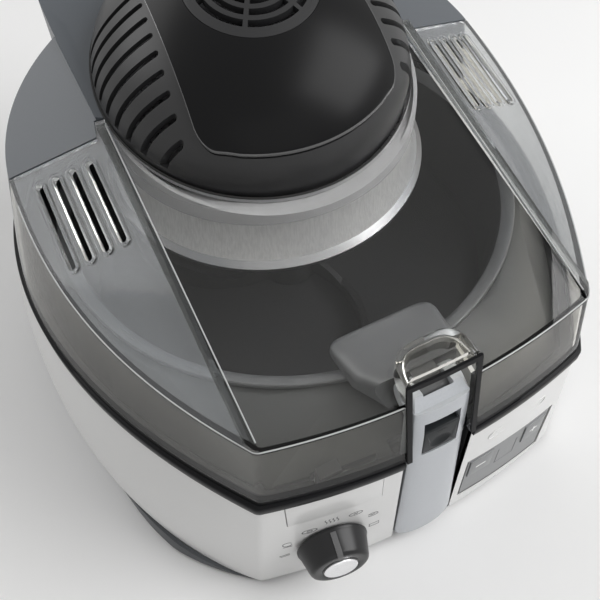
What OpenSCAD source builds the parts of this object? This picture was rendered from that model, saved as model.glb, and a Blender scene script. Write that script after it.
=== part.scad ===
// Deep fryer with a turning paddle, a hinged smoky lid and a blower dome.
// Millimetres, +Z up, the front faces -Y, the origin is on the floor under the bowl's axis.

/* [Body] */
// Room between the bowl's rim and the body's widest place, at the black trim
side_room = 33.4; // [28:0.1:40]
// Half width of the crisp front corners at the trim
corner_x = 97; // [90:0.5:104]
// Room between the bowl's rim and the line of the front corners, at the trim
front_room = 38; // [35:0.5:46]
// Forward bow of the front face between its corners
bow = 12.7; // [9:0.1:16]
// Sideways bulge of the body's flanks at mid height
belly = 12; // [4:0.5:16]
// Distance of the body's rear end behind the bowl axis
rear_y = 197; // [192:0.5:206]
// Height of the white shell's top edge
shell_top = 108.3; // [104:0.1:112]
// Wall of the white shell
wall = 2.6; // [2:0.1:3.5]
// Rise of the white shell's lower edge at mid length
arch_h = 16; // [8:0.5:24]

/* [Bowl and drive] */
// Inner radius of the bowl at its rim
bowl_r = 130; // [124:0.5:131]
// Height of the bowl rim's inner edge
rim_z = 132; // [130:0.5:134]
// Inside depth of the bowl
bowl_depth = 77; // [66:0.5:79]
// Teeth of the large drive gear
gear_teeth = 48; // [40:4:56]
// Teeth of the motor pinion
pinion_teeth = 12; // [10:1:16]
// Gear module, the tooth size
gear_mod = 1.6; // [1.4:0.05:1.7]
// Radius of the drive shaft
shaft_r = 4; // [3.5:0.1:4.5]

/* [Lid] */
// Height of the window plane above the bowl axis
roof_z = 197.2; // [194:0.2:202]
// Wall of the smoky lid shell
lid_wall = 3; // [2.4:0.1:3.6]
// Outer radius of the blower dome's rim
dome_r = 88; // [84:0.5:90]
// Height of the dome above the window plane
dome_h = 54; // [48:0.5:58]
// Flare of the drum's lower lip beyond the drum
lip_flare = 7.3; // [5.5:0.1:9]
// Height of the lip's lower edge
lip_z = 143.2; // [142:0.2:146]
// Width of one air slot in the side wings
slot_w = 4.2; // [3:0.2:5.2]

/* [Handle and controls] */
// Half width of the handle at its lower end
grip_w = 19.5; // [17:0.5:21]
// Length of the handle below its pivot
grip_l = 143; // [130:1:146]
// Radius of the knob at its base
knob_r = 21; // [17:0.5:22]
// Height of the knob
knob_h = 17; // [13:0.5:20]
// Stroke of the lid release button
release_stroke = 2.5; // [1:0.1:3]

/* [Hidden] */
half_w = bowl_r + side_room;
corner_y = bowl_r + front_room;
front_y = -corner_y;        // line of the front corners, which the front's pieces follow
drum_r = dome_r + 0.4;
lip_r = drum_r + lip_flare;
gap = 0.3;                  // seat between pieces that rest on each other
run = 0.05;                 // radial play of a running shaft
slip = 0.02;                // radial room of a hub on its own shaft
trim_z0 = shell_top + gap;
trim_z1 = trim_z0 + 7.5;
lid_z0 = trim_z1 + gap;
slope = 0.204;              // rise of the window plane towards the rear
tilt = atan(slope);
wing_x = -0.4306;           // fall of the side wings away from the middle
wing_y = 0.196;
wing_z = roof_z + 38.1;
rail_x = 92.5;              // line where the middle window meets the wings
cy_dome = 35;               // dome centre, behind the bowl axis
cy_drum = 27;               // drum and fan axis
hinge_y = rear_y - 11;
hinge_z = trim_z1 + 8;
pan_z = 3;
pan_t = 2.5;
bowl_t = 1.4;
bowl_zi = rim_z - bowl_depth;
bowl_zo = bowl_zi - 2.5;
liner_z = bowl_zo - 14;
flange_z = rim_z + 0.6;
collar_z = flange_z - 1.6;
collar_ri = bowl_r + 4.1;
pitch_big = gear_teeth * gear_mod / 2;
pitch_small = pinion_teeth * gear_mod / 2;
gear_dist = pitch_big + pitch_small;
gear_z = 12;
gear_h = 6;
tooth_play = 0.15;
motor_a = 40;
motor_x = gear_dist * cos(motor_a);
motor_y = gear_dist * sin(motor_a);
pivot_y = front_y + 5;           // handle pivot
pivot_z = 148;
notch_w = 17.5;             // half width of the lid's notch for the handle
lean = 4.45;                // outward lean of the folded handle
knob_c = [-61.3, front_y - 11.1, 43.5];
knob_yaw = 8.7;
knob_up = 6;
gland_z = 36;               // cord gland in the rear wall
gland_y = rear_y - 2.7;
gland_h = 4.475;            // its collar, which ends the part at the rear
ns = 10;                    // outline steps: side, rear, front
nr = 18;
nf = 12;

// ---------- outlines ----------
// One outline at height z: parabola flanks from the front corner to the widest point,
// half an ellipse round the rear, and a bowed front face.
function ring(w, ym, cx, cy, fb, yr, p, z) = concat(
  [for (i = [0:ns]) let (s = 1 - i / ns) [w - (w - cx) * pow(s, p), ym - (ym + cy) * s, z]],
  [for (i = [1:nr]) let (a = 180 * i / nr) [w * cos(a), ym + (yr - ym) * sin(a), z]],
  [for (i = [1:ns]) let (s = i / ns) [-w + (w - cx) * pow(s, p), ym - (ym + cy) * s, z]],
  [for (i = [1:nf - 1]) let (x = -cx + 2 * cx * i / nf)
    [x, -cy - fb * (1 - pow(x / cx, 2)), z]]);

// Body outline at height z, moved inwards by o.
function body_ring(z, o) = let (t = (z - pan_z) / (shell_top - pan_z))
  ring(half_w - 3.4 + 3.4 * t + 4 * belly * t * (1 - t) - o, 35 - 23 * t,
    corner_x + 7.7 - 7.7 * t - o, corner_y + 4.2 - 4.2 * t - o, bow,
    rear_y - 4 + 4 * t - o, 4 - 2 * t, z);

// Trim outline, straight walls.
function trim_ring(z, o) =
  ring(half_w + 0.6 - o, 12, corner_x + 0.3 - o, corner_y + 0.4 - o, bow + 0.3,
    rear_y + 0.6 - o, 2, z);

// Lid outline at height z: the walls lean inwards, most of all at the rear.
function lid_ring(z, o) = let (d = z - lid_z0)
  ring(half_w - 0.27 * d - o, 12 + 0.33 * d, corner_x - 0.8 - 0.0956 * d - o,
    corner_y - 0.4 - 0.1247 * d - o, bow + 0.8 - 0.073 * d, rear_y - 21 - 0.65 * d - o, 2, z);

module loft(r) {
  n = len(r[0]);
  m = len(r);
  polyhedron(points = [for (q = r) for (p = q) p],
    faces = concat([[for (i = [0:n - 1]) i]],
      [for (j = [0:m - 2]) for (i = [0:n - 1]) let (k = (i + 1) % n)
        [j * n + i, (j + 1) * n + k, j * n + k]],
      [for (j = [0:m - 2]) for (i = [0:n - 1]) let (k = (i + 1) % n)
        [j * n + i, (j + 1) * n + i, (j + 1) * n + k]],
      [[for (i = [n - 1:-1:0]) (m - 1) * n + i]]));
}

// Front face of the body at x and z.
function face_y(x, z) = let (t = (z - pan_z) / (shell_top - pan_z), cx = corner_x + 7.7 - 7.7 * t)
  -(corner_y + 4.2 - 4.2 * t) - bow * (1 - pow(x / cx, 2));

// A panel that follows the bowed front, from x0 to x1. za and zb are its lower and upper
// edges at both ends; a and b are its distances outside and behind the face, along Y.
module face_patch(x0, x1, za, zb, a, b, n = 6) {
  xs = [for (i = [0:n]) x0 + (x1 - x0) * i / n];
  z_lo = [for (i = [0:n]) za[0] + (za[1] - za[0]) * i / n];
  z_hi = [for (i = [0:n]) zb[0] + (zb[1] - zb[0]) * i / n];
  loft([for (i = [0:n]) [
    [xs[i], face_y(xs[i], z_lo[i]) - a, z_lo[i]], [xs[i], face_y(xs[i], z_lo[i]) + b, z_lo[i]],
    [xs[i], face_y(xs[i], z_hi[i]) + b, z_hi[i]], [xs[i], face_y(xs[i], z_hi[i]) - a, z_hi[i]]]]);
}

// Everything below the window plane, lowered by o.
module under_roof(o) {
  translate([0, 0, roof_z - o]) rotate([tilt, 0, 0]) translate([-300, -320, -260])
    cube([600, 640, 260]);
}
// Everything below both side wings, lowered by o.
module under_wings(o) {
  intersection() {
    wing_slab(1, o);
    wing_slab(-1, o);
  }
}
wing_t = atan(wing_y);
wing_s = atan(-wing_x * cos(wing_t));
module wing_frame(s, o) {
  translate([0, 0, wing_z - o]) rotate([wing_t, 0, 0]) rotate([0, s * wing_s, 0]) children();
}
module wing_slab(s, o) {
  wing_frame(s, o) translate([-400, -400, -320]) cube([800, 800, 320]);
}

module lid_solid(o) {
  intersection() {
    loft([lid_ring(lid_z0 - (o > 0 ? 1 : 0), o), lid_ring(lid_z0 + 40, o), lid_ring(lid_z0 + 118, o)]);
    under_roof(o);
    under_wings(o);
  }
}
// Rear cover over the blower: plan outline, moved inwards by o.
function rear_plan(o) = let (x = rail_x + 1.6 - o, ye = rear_y - 15 - o) concat(
  [[x - 1.6, 20], [x, 96]],
  [for (a = [9:9:171]) [x * pow(abs(cos(a)), 0.6) * sign(cos(a)), 96 + (ye - 96) * pow(sin(a), 0.6)]],
  [[-x, 96], [-x + 1.6, 20]]);
// Side profile of the rear cover as [y, z]: the window plane, then an arc down to the rear wall.
function rear_side(o, z0) = let (ra = 52, yc = rear_y - 15 - ra, y0 = yc - ra * sin(tilt),
    zc = roof_z + slope * y0 - ra * cos(tilt)) concat(
  [[20, z0], [20, roof_z + slope * 20 - o]],
  [for (i = [0:8]) let (a = (90 + tilt) * (1 - i / 8)) [yc + (ra - o) * cos(a), zc + (ra - o) * sin(a)]],
  [[rear_y - 15 - o, z0]]);
module rear_block(o) {
  intersection() {
    linear_extrude(300) polygon(rear_plan(o));
    rotate([90, 0, 90]) translate([0, 0, -120]) linear_extrude(240)
      polygon(rear_side(o, lid_z0 - (o > 0 ? 1 : 0)));
  }
}
// Space in front of the seam between the clear front and the rear covers.
module ahead_of_seam(d) {
  linear_extrude(320) polygon([[-240, -260], [240, -260], [240, 59.5 + d], [96.2, 22.5 + d],
    [94, 31.8 + d], [87, 28.3 + d], [-87, 28.3 + d], [-94, 31.8 + d], [-96.2, 22.5 + d],
    [-240, 59.5 + d]]);
}

module dome_frame() {
  translate([0, cy_dome, roof_z + slope * cy_dome]) rotate([tilt, 0, 0]) children();
}
// Revolved shell between two ellipses, from the rim to the crown.
module dome_shell(ro, ho, ri, hi) {
  rotate_extrude($fn = 96) polygon(concat(
    [for (i = [0:12]) let (a = 7.5 * i) [ro * cos(a), ho * sin(a)]],
    [for (i = [12:-1:0]) let (a = 7.5 * i) [ri * cos(a), hi * sin(a)]]));
}
// Rounded slot along Y between y0 and y1.
module slot_y(x, y0, y1, w, h) {
  translate([x - w / 2, y0, -h / 2]) cube([w, y1 - y0, h]);
  for (y = [y0, y1]) translate([x, y, -h / 2]) cylinder(r = w / 2, h = h);
}
module handle_frame() {
  translate([0, front_y - 5.7, 152.7]) rotate([-lean, 0, 0]) children();
}
module knob_frame() {
  translate(knob_c) rotate([0, 0, -knob_yaw]) rotate([90 - knob_up, 0, 0]) children();
}
// Involute spur gear outline with play between the teeth.
module gear_2d(z, m) {
  rp = z * m / 2;
  rb = rp * cos(20);
  ra = rp + 0.85 * m;
  rf = rp - 1.2 * m;
  inv20 = tan(20) * 180 / PI - 20;
  half = 90 / z - tooth_play / rp * 180 / PI + inv20;
  function fl(r) = let (c = acos(min(1, rb / r))) half - (tan(c) * 180 / PI - c);
  polygon([for (k = [0:z - 1]) for (q = [[rf, -1], [max(rb, rf + 0.1), -1], [rp, -1], [ra, -1],
      [ra, 1], [rp, 1], [max(rb, rf + 0.1), 1], [rf, 1]])
    let (a = k * 360 / z + q[1] * max(fl(max(q[0], rb)), 0.6)) [q[0] * cos(a), q[0] * sin(a)]]);
}

// ---------- base ----------
module base_pan() color([0.2, 0.2, 0.21]) {
  difference() {
    loft([body_ring(pan_z, wall + gap), body_ring(16, wall + gap), body_ring(24, wall + gap + 0.1)]);
    loft([body_ring(pan_z + pan_t, wall + gap + 2.5), body_ring(26, wall + gap + 2.5)]);
    for (i = [-3:3]) slot_at(24 * i, 118);
    for (p = foot_pos) translate([p[0], p[1], -1]) cylinder(r = 2.2, h = 12);
    for (p = liner_posts) translate([p[0], p[1], -1]) cylinder(r = 3.6, h = 12);
    grip_recess(2 + gap);
  }
  translate([0, 0, pan_z + 1]) difference() {
    cylinder(r = 12, h = 6.5);
    translate([0, 0, 1.5]) cylinder(r = 8.3, h = 8);
  }
  for (p = motor_posts) translate([p[0], p[1], pan_z + 1]) cylinder(r = 4, h = gear_z + gear_h + 1 - pan_z - 1);
  for (p = liner_posts) translate([p[0], p[1], 0]) difference() {
    translate([0, 0, pan_z + 1]) cylinder(r = 6, h = liner_z - 5 - pan_z);
    cylinder(r = 3.6, h = pan_z + head_deep);
    cylinder(r = 1.8, h = liner_z);
  }
}
module slot_at(x, y) {
  translate([0, 0, pan_z]) slot_y(x, y - 10, y + 10, 4, 12);
}
head_deep = 3.4;            // counterbore of the base screws
liner_at = (collar_ri - 13.9) / sqrt(2);
liner_posts = [for (x = [-liner_at, liner_at], y = [-liner_at, liner_at]) [x, y]];
foot_pos = [[-100, -128], [100, -128], [-112, 110], [112, 110]];
motor_posts = [for (s = [-1, 1]) [motor_x - s * 30 * sin(motor_a), motor_y + s * 30 * cos(motor_a)]];

module feet() color([0.08, 0.08, 0.08]) {
  for (p = foot_pos) translate([p[0], p[1], 0]) {
    cylinder(r1 = 8.5, r2 = 10, h = pan_z);
    translate([0, 0, pan_z - 0.5]) cylinder(r = 2.15, h = pan_t + 1.5);
  }
}

module base_screws() color([0.7, 0.7, 0.72]) {
  for (p = liner_posts) translate([p[0], p[1], pan_z + head_deep - 2.2]) {
    cylinder(r = 3.2, h = 2.2);
    cylinder(r = 1.5, h = liner_z - pan_z - head_deep + 0.8);
  }
  for (p = motor_posts) translate([p[0], p[1], gear_z + gear_h + 3]) cylinder(r = 3, h = 2.2);
}

module body_shell() color([0.93, 0.93, 0.92]) difference() {
  union() {
    difference() {
      loft([for (z = [pan_z + 1.5, 16, 30, 56, 82, shell_top]) body_ring(z, 0)]);
      loft([for (z = [pan_z + 0.5, 16, 30, 56, 82, shell_top + 1]) body_ring(z, wall)]);
      grip_recess(0);
    }
    intersection() {
      difference() {
        grip_recess(2);
        grip_recess(0);
      }
      loft([body_ring(pan_z + 1.5, 0.1), body_ring(shell_top, 0.1)]);
    }
    for (x = [-66, -46.5]) let (y = face_y(x, 78) + 1.2)
      translate([x, y, 74]) cube([2.5, front_y + 11 - y, 18]);
  }
  translate([0, 40, arch_h + pan_z - 980]) rotate([0, 90, 0])
    cylinder(r = 980, h = 400, center = true, $fn = 360);
  face_patch(25.4, 94.6, [15.4, 7.4], [66.6, 58.6], 4, 6);
  face_patch(-84.6, -31.4, [81.4, 81.4], [shell_top + 2, shell_top + 2], 4, 6);
  knob_frame() translate([0, 0, -14]) cylinder(r = 5, h = 20);
  translate([0, rear_y, gland_z]) rotate([90, 0, 0]) cylinder(r = 6.4, h = 60, center = true);
  translate([-70, front_y + 8, 88]) rotate([0, 90, 0]) cylinder(r = 1.5, h = 30);
}
// Upright channel in the front face that the folded handle lies in.
module grip_recess(o) {
  handle_frame() translate([-grip_w - 1.2 - o, -14, -166]) cube([2 * (grip_w + 1.2 + o), 24 + o, 166]);
}

module rim_trim() color([0.03, 0.03, 0.03]) difference() {
  loft([trim_ring(trim_z0, 0), trim_ring(trim_z1, 0)]);
  loft([trim_ring(trim_z0 - 1, 9), trim_ring(trim_z1 + 1, 9)]);
  grip_recess(0);
  catch_slot();
}
module catch_slot() {
  translate([-66, front_y - 1, 99]) cube([16, 7.5, 30]);
}

module top_deck() color([0.33, 0.34, 0.35]) difference() {
  union() {
    loft([body_ring(trim_z0 - 2.8, wall + 2 * gap), body_ring(shell_top, wall + 2 * gap)]);
    hull() {
      loft([trim_ring(trim_z0 - 1, 9.6), trim_ring(trim_z1 - 4, 9.6)]);
      translate([0, 0, trim_z0]) cylinder(r = collar_ri + 7.4, h = collar_z - trim_z0, $fn = 96);
    }
  }
  hull() {
    loft([trim_ring(90, 12.4), trim_ring(trim_z1 - 7, 12.4)]);
    translate([0, 0, 90]) cylinder(r = collar_ri + 4.4, h = collar_z - 92.6, $fn = 96);
  }
  cylinder(r = collar_ri, h = 200);
  grip_recess(2.3);
  catch_slot();
  face_patch(-85, -31, [81, 81], [120, 120], 4, 12);
}

// ---------- cooking well ----------
module well_liner() color([0.75, 0.76, 0.78]) {
  ro = collar_ri - gap;
  rotate_extrude($fn = 120) polygon([[9, liner_z], [ro - 8, liner_z], [ro, liner_z + 8],
    [ro, collar_z - 0.5], [ro - 0.8, collar_z - 0.5], [ro - 0.8, liner_z + 8.4],
    [ro - 8.4, liner_z + 0.8], [9, liner_z + 0.8]]);
  for (a = [30:120:270]) rotate(a) translate([80, 0, liner_z + 0.4]) cylinder(r = 4, h = 3.6);
  for (p = liner_posts) translate([p[0], p[1], liner_z - 4 + gap]) difference() {
    cylinder(r = 5, h = 4.2 - gap);
    translate([0, 0, -1]) cylinder(r = 1.5 + gap / 3, h = 4);
  }
}

module lower_heater() color([0.35, 0.35, 0.36]) {
  translate([0, 0, liner_z + 8.3]) {
    rotate([0, 0, 20]) rotate_extrude(angle = 320, $fn = 96) translate([80, 0]) circle(r = 4, $fn = 24);
    for (a = [20, 340]) rotate(a) translate([80, 0, 0]) sphere(r = 4, $fn = 32);
  }
}

module thermostat() color([0.82, 0.8, 0.74]) {
  rotate(200) translate([58, 0, liner_z + 0.8]) {
    cylinder(r = 8, h = 6);
    translate([0, 0, 6]) cylinder(r = 5, h = 4.6);
  }
}

module gear_motor() color([0.68, 0.69, 0.7]) translate([motor_x, motor_y, 0]) rotate(motor_a) {
  difference() {
    union() {
      translate([0, 0, gear_z + gear_h + 1]) cylinder(r = 23, h = liner_z - gear_z - gear_h - 3);
      translate([-6, -36, gear_z + gear_h + 1]) cube([12, 72, 2]);
      translate([18, -8, gear_z + gear_h + 4]) cube([11, 16, 8]);
    }
    translate([0, 0, gear_z]) cylinder(r = 2.5 + run, h = 20);
  }
}

module motor_pinion() color([0.9, 0.9, 0.86]) translate([motor_x, motor_y, 0]) {
  translate([0, 0, gear_z]) linear_extrude(gear_h) rotate(motor_a + 180 + 180 / pinion_teeth)
    gear_2d(pinion_teeth, gear_mod);
  translate([0, 0, gear_z + gear_h]) cylinder(r = 2.5, h = 12);
}

module drive_gear() color([0.9, 0.9, 0.86]) difference() {
  union() {
    translate([0, 0, gear_z]) linear_extrude(gear_h) rotate(motor_a) gear_2d(gear_teeth, gear_mod);
    translate([0, 0, gear_z]) cylinder(r = 9, h = gear_h + 5);
  }
  translate([0, 0, gear_z - 1]) cylinder(r = shaft_r + slip, h = 20);
  for (a = [0:60:300]) rotate(a) translate([pitch_big * 0.6, 0, gear_z - 1]) cylinder(r = pitch_big * 0.17, h = 20);
}

module foot_bearing() color([0.75, 0.6, 0.3]) translate([0, 0, pan_z + 2.8]) difference() {
  cylinder(r = 8.2, h = 4.7);
  translate([0, 0, 1.2]) cylinder(r = shaft_r + run, h = 8);
}

module shaft_bush() color([0.75, 0.6, 0.3]) difference() {
  union() {
    translate([0, 0, liner_z - 5]) cylinder(r = 8.8, h = 11);
    translate([0, 0, liner_z + 0.9]) cylinder(r = 12, h = 2);
  }
  translate([0, 0, liner_z - 6]) cylinder(r = shaft_r + run, h = 20);
}

module drive_shaft() color([0.8, 0.8, 0.82]) {
  translate([0, 0, pan_z + 4.3]) cylinder(r = shaft_r, h = bowl_zi + 24 - pan_z - 4.3);
}

module bowl() color([0.16, 0.16, 0.17]) {
  rb = bowl_r - 13;
  rc = 12;
  zi = bowl_zi;
  zo = bowl_zo;
  slant = (bowl_r - rb - rc) / (rim_z - zi);
  rotate_extrude($fn = 120) polygon(concat(
    [[8, zo]],
    [for (i = [0:6]) let (a = -90 + 15 * i) [rb + rc * cos(a) + bowl_t, zo + rc + rc * sin(a)]],
    [[bowl_r + bowl_t, flange_z - 1.3], [bowl_r + 6.8, flange_z - 1.3], [bowl_r + 6.8, flange_z],
     [bowl_r, flange_z]],
    [for (i = [6:-1:0]) let (a = -90 + 15 * i) [rb + rc * cos(a), zi + rc + rc * sin(a)]],
    [[12, zi], [10.5, zi + 20], [7.8, zi + 20]]));
}

module bowl_rim() color([0.24, 0.25, 0.26]) {
  rotate_extrude($fn = 120) polygon([[bowl_r + 0.6, flange_z], [bowl_r + 7.5, flange_z],
    [bowl_r + 7.5, flange_z + 3], [bowl_r + 6.9, flange_z + 3.6], [bowl_r + 4.5, flange_z + 3.4],
    [bowl_r, flange_z + 0.2], [bowl_r + 0.1, flange_z]]);
}

module paddle() color([0.13, 0.13, 0.13]) {
  z0 = bowl_zi + 1.2;
  rotate_extrude($fn = 96) polygon(concat([[13.4, z0], [19, z0], [15.5, z0 + 28]],
    [for (a = [0:15:90]) [15.5 * cos(a), z0 + 31 + 7 * sin(a)]],
    [[0, z0 + 23.32], [shaft_r + slip, z0 + 23.32], [shaft_r + slip, z0 + 21.5], [12.4, z0 + 21.5]]));
  for (a = [200, 320]) rotate(a) paddle_arm(a == 200 ? 106 : 92, a == 200 ? 30 : 12, z0);
}
module paddle_arm(r, h, z0) {
  intersection() {
    translate([0, -64, z0 - 1]) difference() {
      cylinder(r = 66, h = 60, $fn = 72);
      translate([0, 0, -1]) cylinder(r = 62, h = 62, $fn = 72);
    }
    rotate([90, 0, 0]) translate([0, 0, -60]) linear_extrude(200)
      polygon([[15, z0 + 0.4], [r - 14, z0 + 0.4], [r - 2, z0 + 14], [r, z0 + 8 + h],
        [r - 16, z0 + 8 + h], [40, z0 + 9], [15, z0 + 16]]);
    translate([0, 0, z0 - 2]) cylinder(r = r, h = 62);
  }
}

module handle_mount() color([0.36, 0.37, 0.38]) difference() {
  union() {
    difference() {
      zt = flange_z + 8.8;
      union() {
        translate([-31, pivot_y + 10, flange_z + 3.9]) cube([62, 40, 4.9]);
        intersection() {
          translate([-31, -bowl_r - 10, flange_z - 12]) cube([62, 27, 20]);
          cylinder(r = bowl_r - 0.4, h = 200);
        }
        hull() {
          translate([-31, pivot_y + 17, zt - 1]) cube([62, 33, 1]);
          translate([-14.5, pivot_y + 3, zt + 8]) cube([29, 22, 6]);
        }
      }
      translate([-40, pivot_y - 15, flange_z + 7]) cube([80, 18, 3.4]);
      translate([-30, pivot_y, pivot_z]) rotate([0, 90, 0]) cylinder(r = 12.2, h = 60);
    }
    translate([-8, pivot_y, pivot_z - 5]) cube([16, 14, 10]);
    translate([-8, pivot_y, pivot_z]) rotate([0, 90, 0]) cylinder(r = 6.5, h = 16);
  }
  translate([-9, pivot_y, pivot_z]) rotate([0, 90, 0]) cylinder(r = 3, h = 18);
}

module handle_pin() color([0.75, 0.75, 0.77]) {
  translate([-14.4, pivot_y, pivot_z]) rotate([0, 90, 0]) cylinder(r = 3, h = 28.8);
}

// ---------- lid ----------
module hump(o) {
  intersection() {
    translate([0, front_y + 2.5, 140]) cylinder(r = 23.5 - o, h = 39.2 - o, $fn = 72);
    translate([-19.8 + o, front_y - 32, 100]) cube([39.6 - 2 * o, 80, 100]);
    loft([lid_ring(lid_z0, o), lid_ring(lid_z0 + 118, o)]);
  }
}

module lid_window() color([0.3, 0.29, 0.27, 0.45]) difference() {
  union() {
    intersection() {
      lid_solid(0);
      ahead_of_seam(0);
    }
    hump(0);
    for (s = [-1, 1]) intersection() {
      translate([0, 0, roof_z]) rotate([tilt, 0, 0]) translate([s * (rail_x - 0.3) - 2.4, front_y + 2, -1])
        cube([4.8, 24 - front_y, 3]);
      loft([lid_ring(lid_z0, 0), lid_ring(lid_z0 + 118, 0)]);
    }
    for (s = [-1, 1], i = [0:3]) wing_slot(s, i, slot_w + 4, 1.2, -1.2);
  }
  union() {
    lid_solid(lid_wall);
    hump(lid_wall);
  }
  translate([0, cy_dome, 150]) cylinder(r = dome_r + gap, h = 100, $fn = 120);
  for (s = [-1, 1], i = [0:3]) wing_slot(s, i, slot_w, 4, -6);
  translate([-notch_w, front_y - 32, 100]) cube([2 * notch_w, 45, 73.6]);
}
// Slot i of the wing on side s, with height up above and depth below the wing plane.
module wing_slot(s, i, w, up, down) {
  x = 104.9 + 9.4 * i;
  shift = x * tan(wing_s) * sin(wing_t);
  wing_frame(s, 0) translate([s * x / cos(wing_s), 0, (up + down) / 2])
    slot_y(0, (-35.5 + 1.5 * i - shift) / cos(wing_t), (12 + 2.3 * i - shift) / cos(wing_t), w, up - down);
}

module lid_rear_shell() color([0.3, 0.32, 0.34]) difference() {
  union() {
    difference() {
      lid_solid(0);
      ahead_of_seam(1);
    }
    difference() {
      rear_block(0);
      ahead_of_seam(1);
    }
  }
  lid_solid(lid_wall);
  rear_block(lid_wall);
  translate([0, cy_dome, 150]) cylinder(r = dome_r + gap, h = 120, $fn = 120);
  for (s = [-1, 1]) translate([s * 28 - 16, hinge_y, hinge_z]) rotate([0, 90, 0]) cylinder(r = 7.6, h = 32);
}

module hinge_bracket() color([0.55, 0.56, 0.58]) for (s = [-1, 1]) difference() {
  union() {
    translate([s * 28 - 14, hinge_y - 2.6, trim_z1]) cube([28, 8, 1.2]);
    for (x = [-14, 8.5]) translate([s * 28 + x, hinge_y, hinge_z]) {
      rotate([0, 90, 0]) cylinder(r = 6, h = 5.5);
      translate([0, -2.6, trim_z1 - hinge_z]) cube([5.5, 7.6, 6]);
    }
  }
  translate([s * 28 - 20, hinge_y, hinge_z]) rotate([0, 90, 0]) cylinder(r = 3, h = 40);
}

module hinge_pins() color([0.75, 0.75, 0.77]) for (s = [-1, 1])
  translate([s * 28 - 15, hinge_y, hinge_z]) rotate([0, 90, 0]) cylinder(r = 3, h = 30);

module hinge_arms() color([0.55, 0.56, 0.58]) for (s = [-1, 1]) difference() {
  union() {
    translate([s * 28 - 8, hinge_y, hinge_z]) rotate([0, 90, 0]) cylinder(r = 6, h = 16);
    translate([s * 28 - 8, hinge_y - 3.7, hinge_z]) cube([16, 7, 24]);
  }
  translate([s * 28 - 20, hinge_y, hinge_z]) rotate([0, 90, 0]) cylinder(r = 3 + run, h = 40);
}

// Front wall of the lid at x and z.
function lid_y(x, z) = let (d = z - lid_z0, cx = corner_x - 0.8 - 0.0956 * d)
  -(corner_y - 0.4 - 0.1247 * d) - (bow + 0.8 - 0.073 * d) * (1 - pow(x / cx, 2));
module lid_bar(x0, x1, z0, z1) {
  loft([for (z = [z0, z1]) [[x1, lid_y(x1, z) - 1.6, z], [x1, lid_y(x1, z) - 0.15, z],
    [(x0 + x1) / 2, lid_y((x0 + x1) / 2, z) - 0.15, z], [x0, lid_y(x0, z) - 0.15, z],
    [x0, lid_y(x0, z) - 1.6, z], [(x0 + x1) / 2, lid_y((x0 + x1) / 2, z) - 1.6, z]]]);
}
module notch_frame() color([0.03, 0.03, 0.03]) {
  lid_bar(notch_w + 0.1, notch_w + 2.9, lid_z0, 176.8);
  lid_bar(-notch_w - 2.9, -notch_w - 0.1, lid_z0, 176.8);
  lid_bar(-notch_w - 0.1, notch_w + 0.1, 173.8, 176.8);
}

module dome_cover() color([0.12, 0.12, 0.13]) difference() {
  dome_frame() union() {
    dome_shell(dome_r, dome_h, dome_r - 2.8, dome_h - 2.8);
    translate([0, 0, -3]) difference() {
      cylinder(r = dome_r, h = 3.01, $fn = 96);
      translate([0, 0, -1]) cylinder(r = dome_r - 2.8, h = 6, $fn = 96);
    }
  }
  for (s = [-1, 1], i = [0:8]) louvre(s, i);
  translate([0, 29, roof_z + 20]) cylinder(r = 33, h = 80, $fn = 72);
}
// Slanted air slot i in the flank of the dome on side s.
module louvre(s, i) {
  y = -16 + 10.2 * i;
  xi = 63 - 1.35 * i;
  dome_frame() translate([s * xi, y - cy_dome, 1.2]) rotate([0, 0, s * (12 - 2 * i)]) {
    translate([s > 0 ? 0 : -40, -1.7, 4]) cube([40, 3.4, 60]);
    translate([0, 0, 4]) cylinder(r = 1.7, h = 60);
  }
}

module insert_plan() {
  r = dome_r - 4.8;
  rc = 14;
  cx = 41;
  translate([0, cy_dome]) hull() {
    for (s = [-1, 1]) translate([s * cx, -sqrt(pow(r - rc, 2) - cx * cx)]) circle(r = rc, $fn = 48);
    intersection() {
      circle(r = r, $fn = 120);
      translate([-cx, -r]) square([2 * cx, 40]);
    }
    for (s = [-1, 1]) translate([s * 33, 50]) circle(r = rc, $fn = 48);
  }
}
module dome_insert() color([0.02, 0.02, 0.02]) difference() {
  intersection() {
    dome_frame() dome_shell(dome_r + 1.5, dome_h + 1.5, dome_r + 0.12, dome_h + 0.12);
    translate([0, 0, 150]) linear_extrude(150) insert_plan();
  }
  translate([0, 29, 200]) cylinder(r = 35.6, h = 100, $fn = 72);
}

module top_grille() color([0.05, 0.05, 0.05]) {
  intersection() {
    dome_frame() dome_shell(dome_r + 1.3, dome_h + 1.3, dome_r - 2.2, dome_h - 2.2);
    translate([0, 29, 200]) difference() {
      union() {
        for (r = [32.7, 26.5, 20.3, 14.1]) difference() {
          cylinder(r = r, h = 100, $fn = 72);
          translate([0, 0, -1]) cylinder(r = r - 2.6, h = 102, $fn = 72);
        }
        cylinder(r = 7, h = 100, $fn = 48);
        for (a = [0:60:120]) rotate(a) translate([-31.5, -1.2, 0]) cube([63, 2.4, 100]);
      }
    }
  }
  intersection() {
    dome_frame() dome_shell(dome_r + 1.5, dome_h + 1.5, dome_r + 0.12, dome_h + 0.12);
    translate([0, 29, 200]) difference() {
      cylinder(r = 35.3, h = 100, $fn = 72);
      translate([0, 0, -1]) cylinder(r = 32.2, h = 102, $fn = 72);
    }
  }
}

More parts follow.
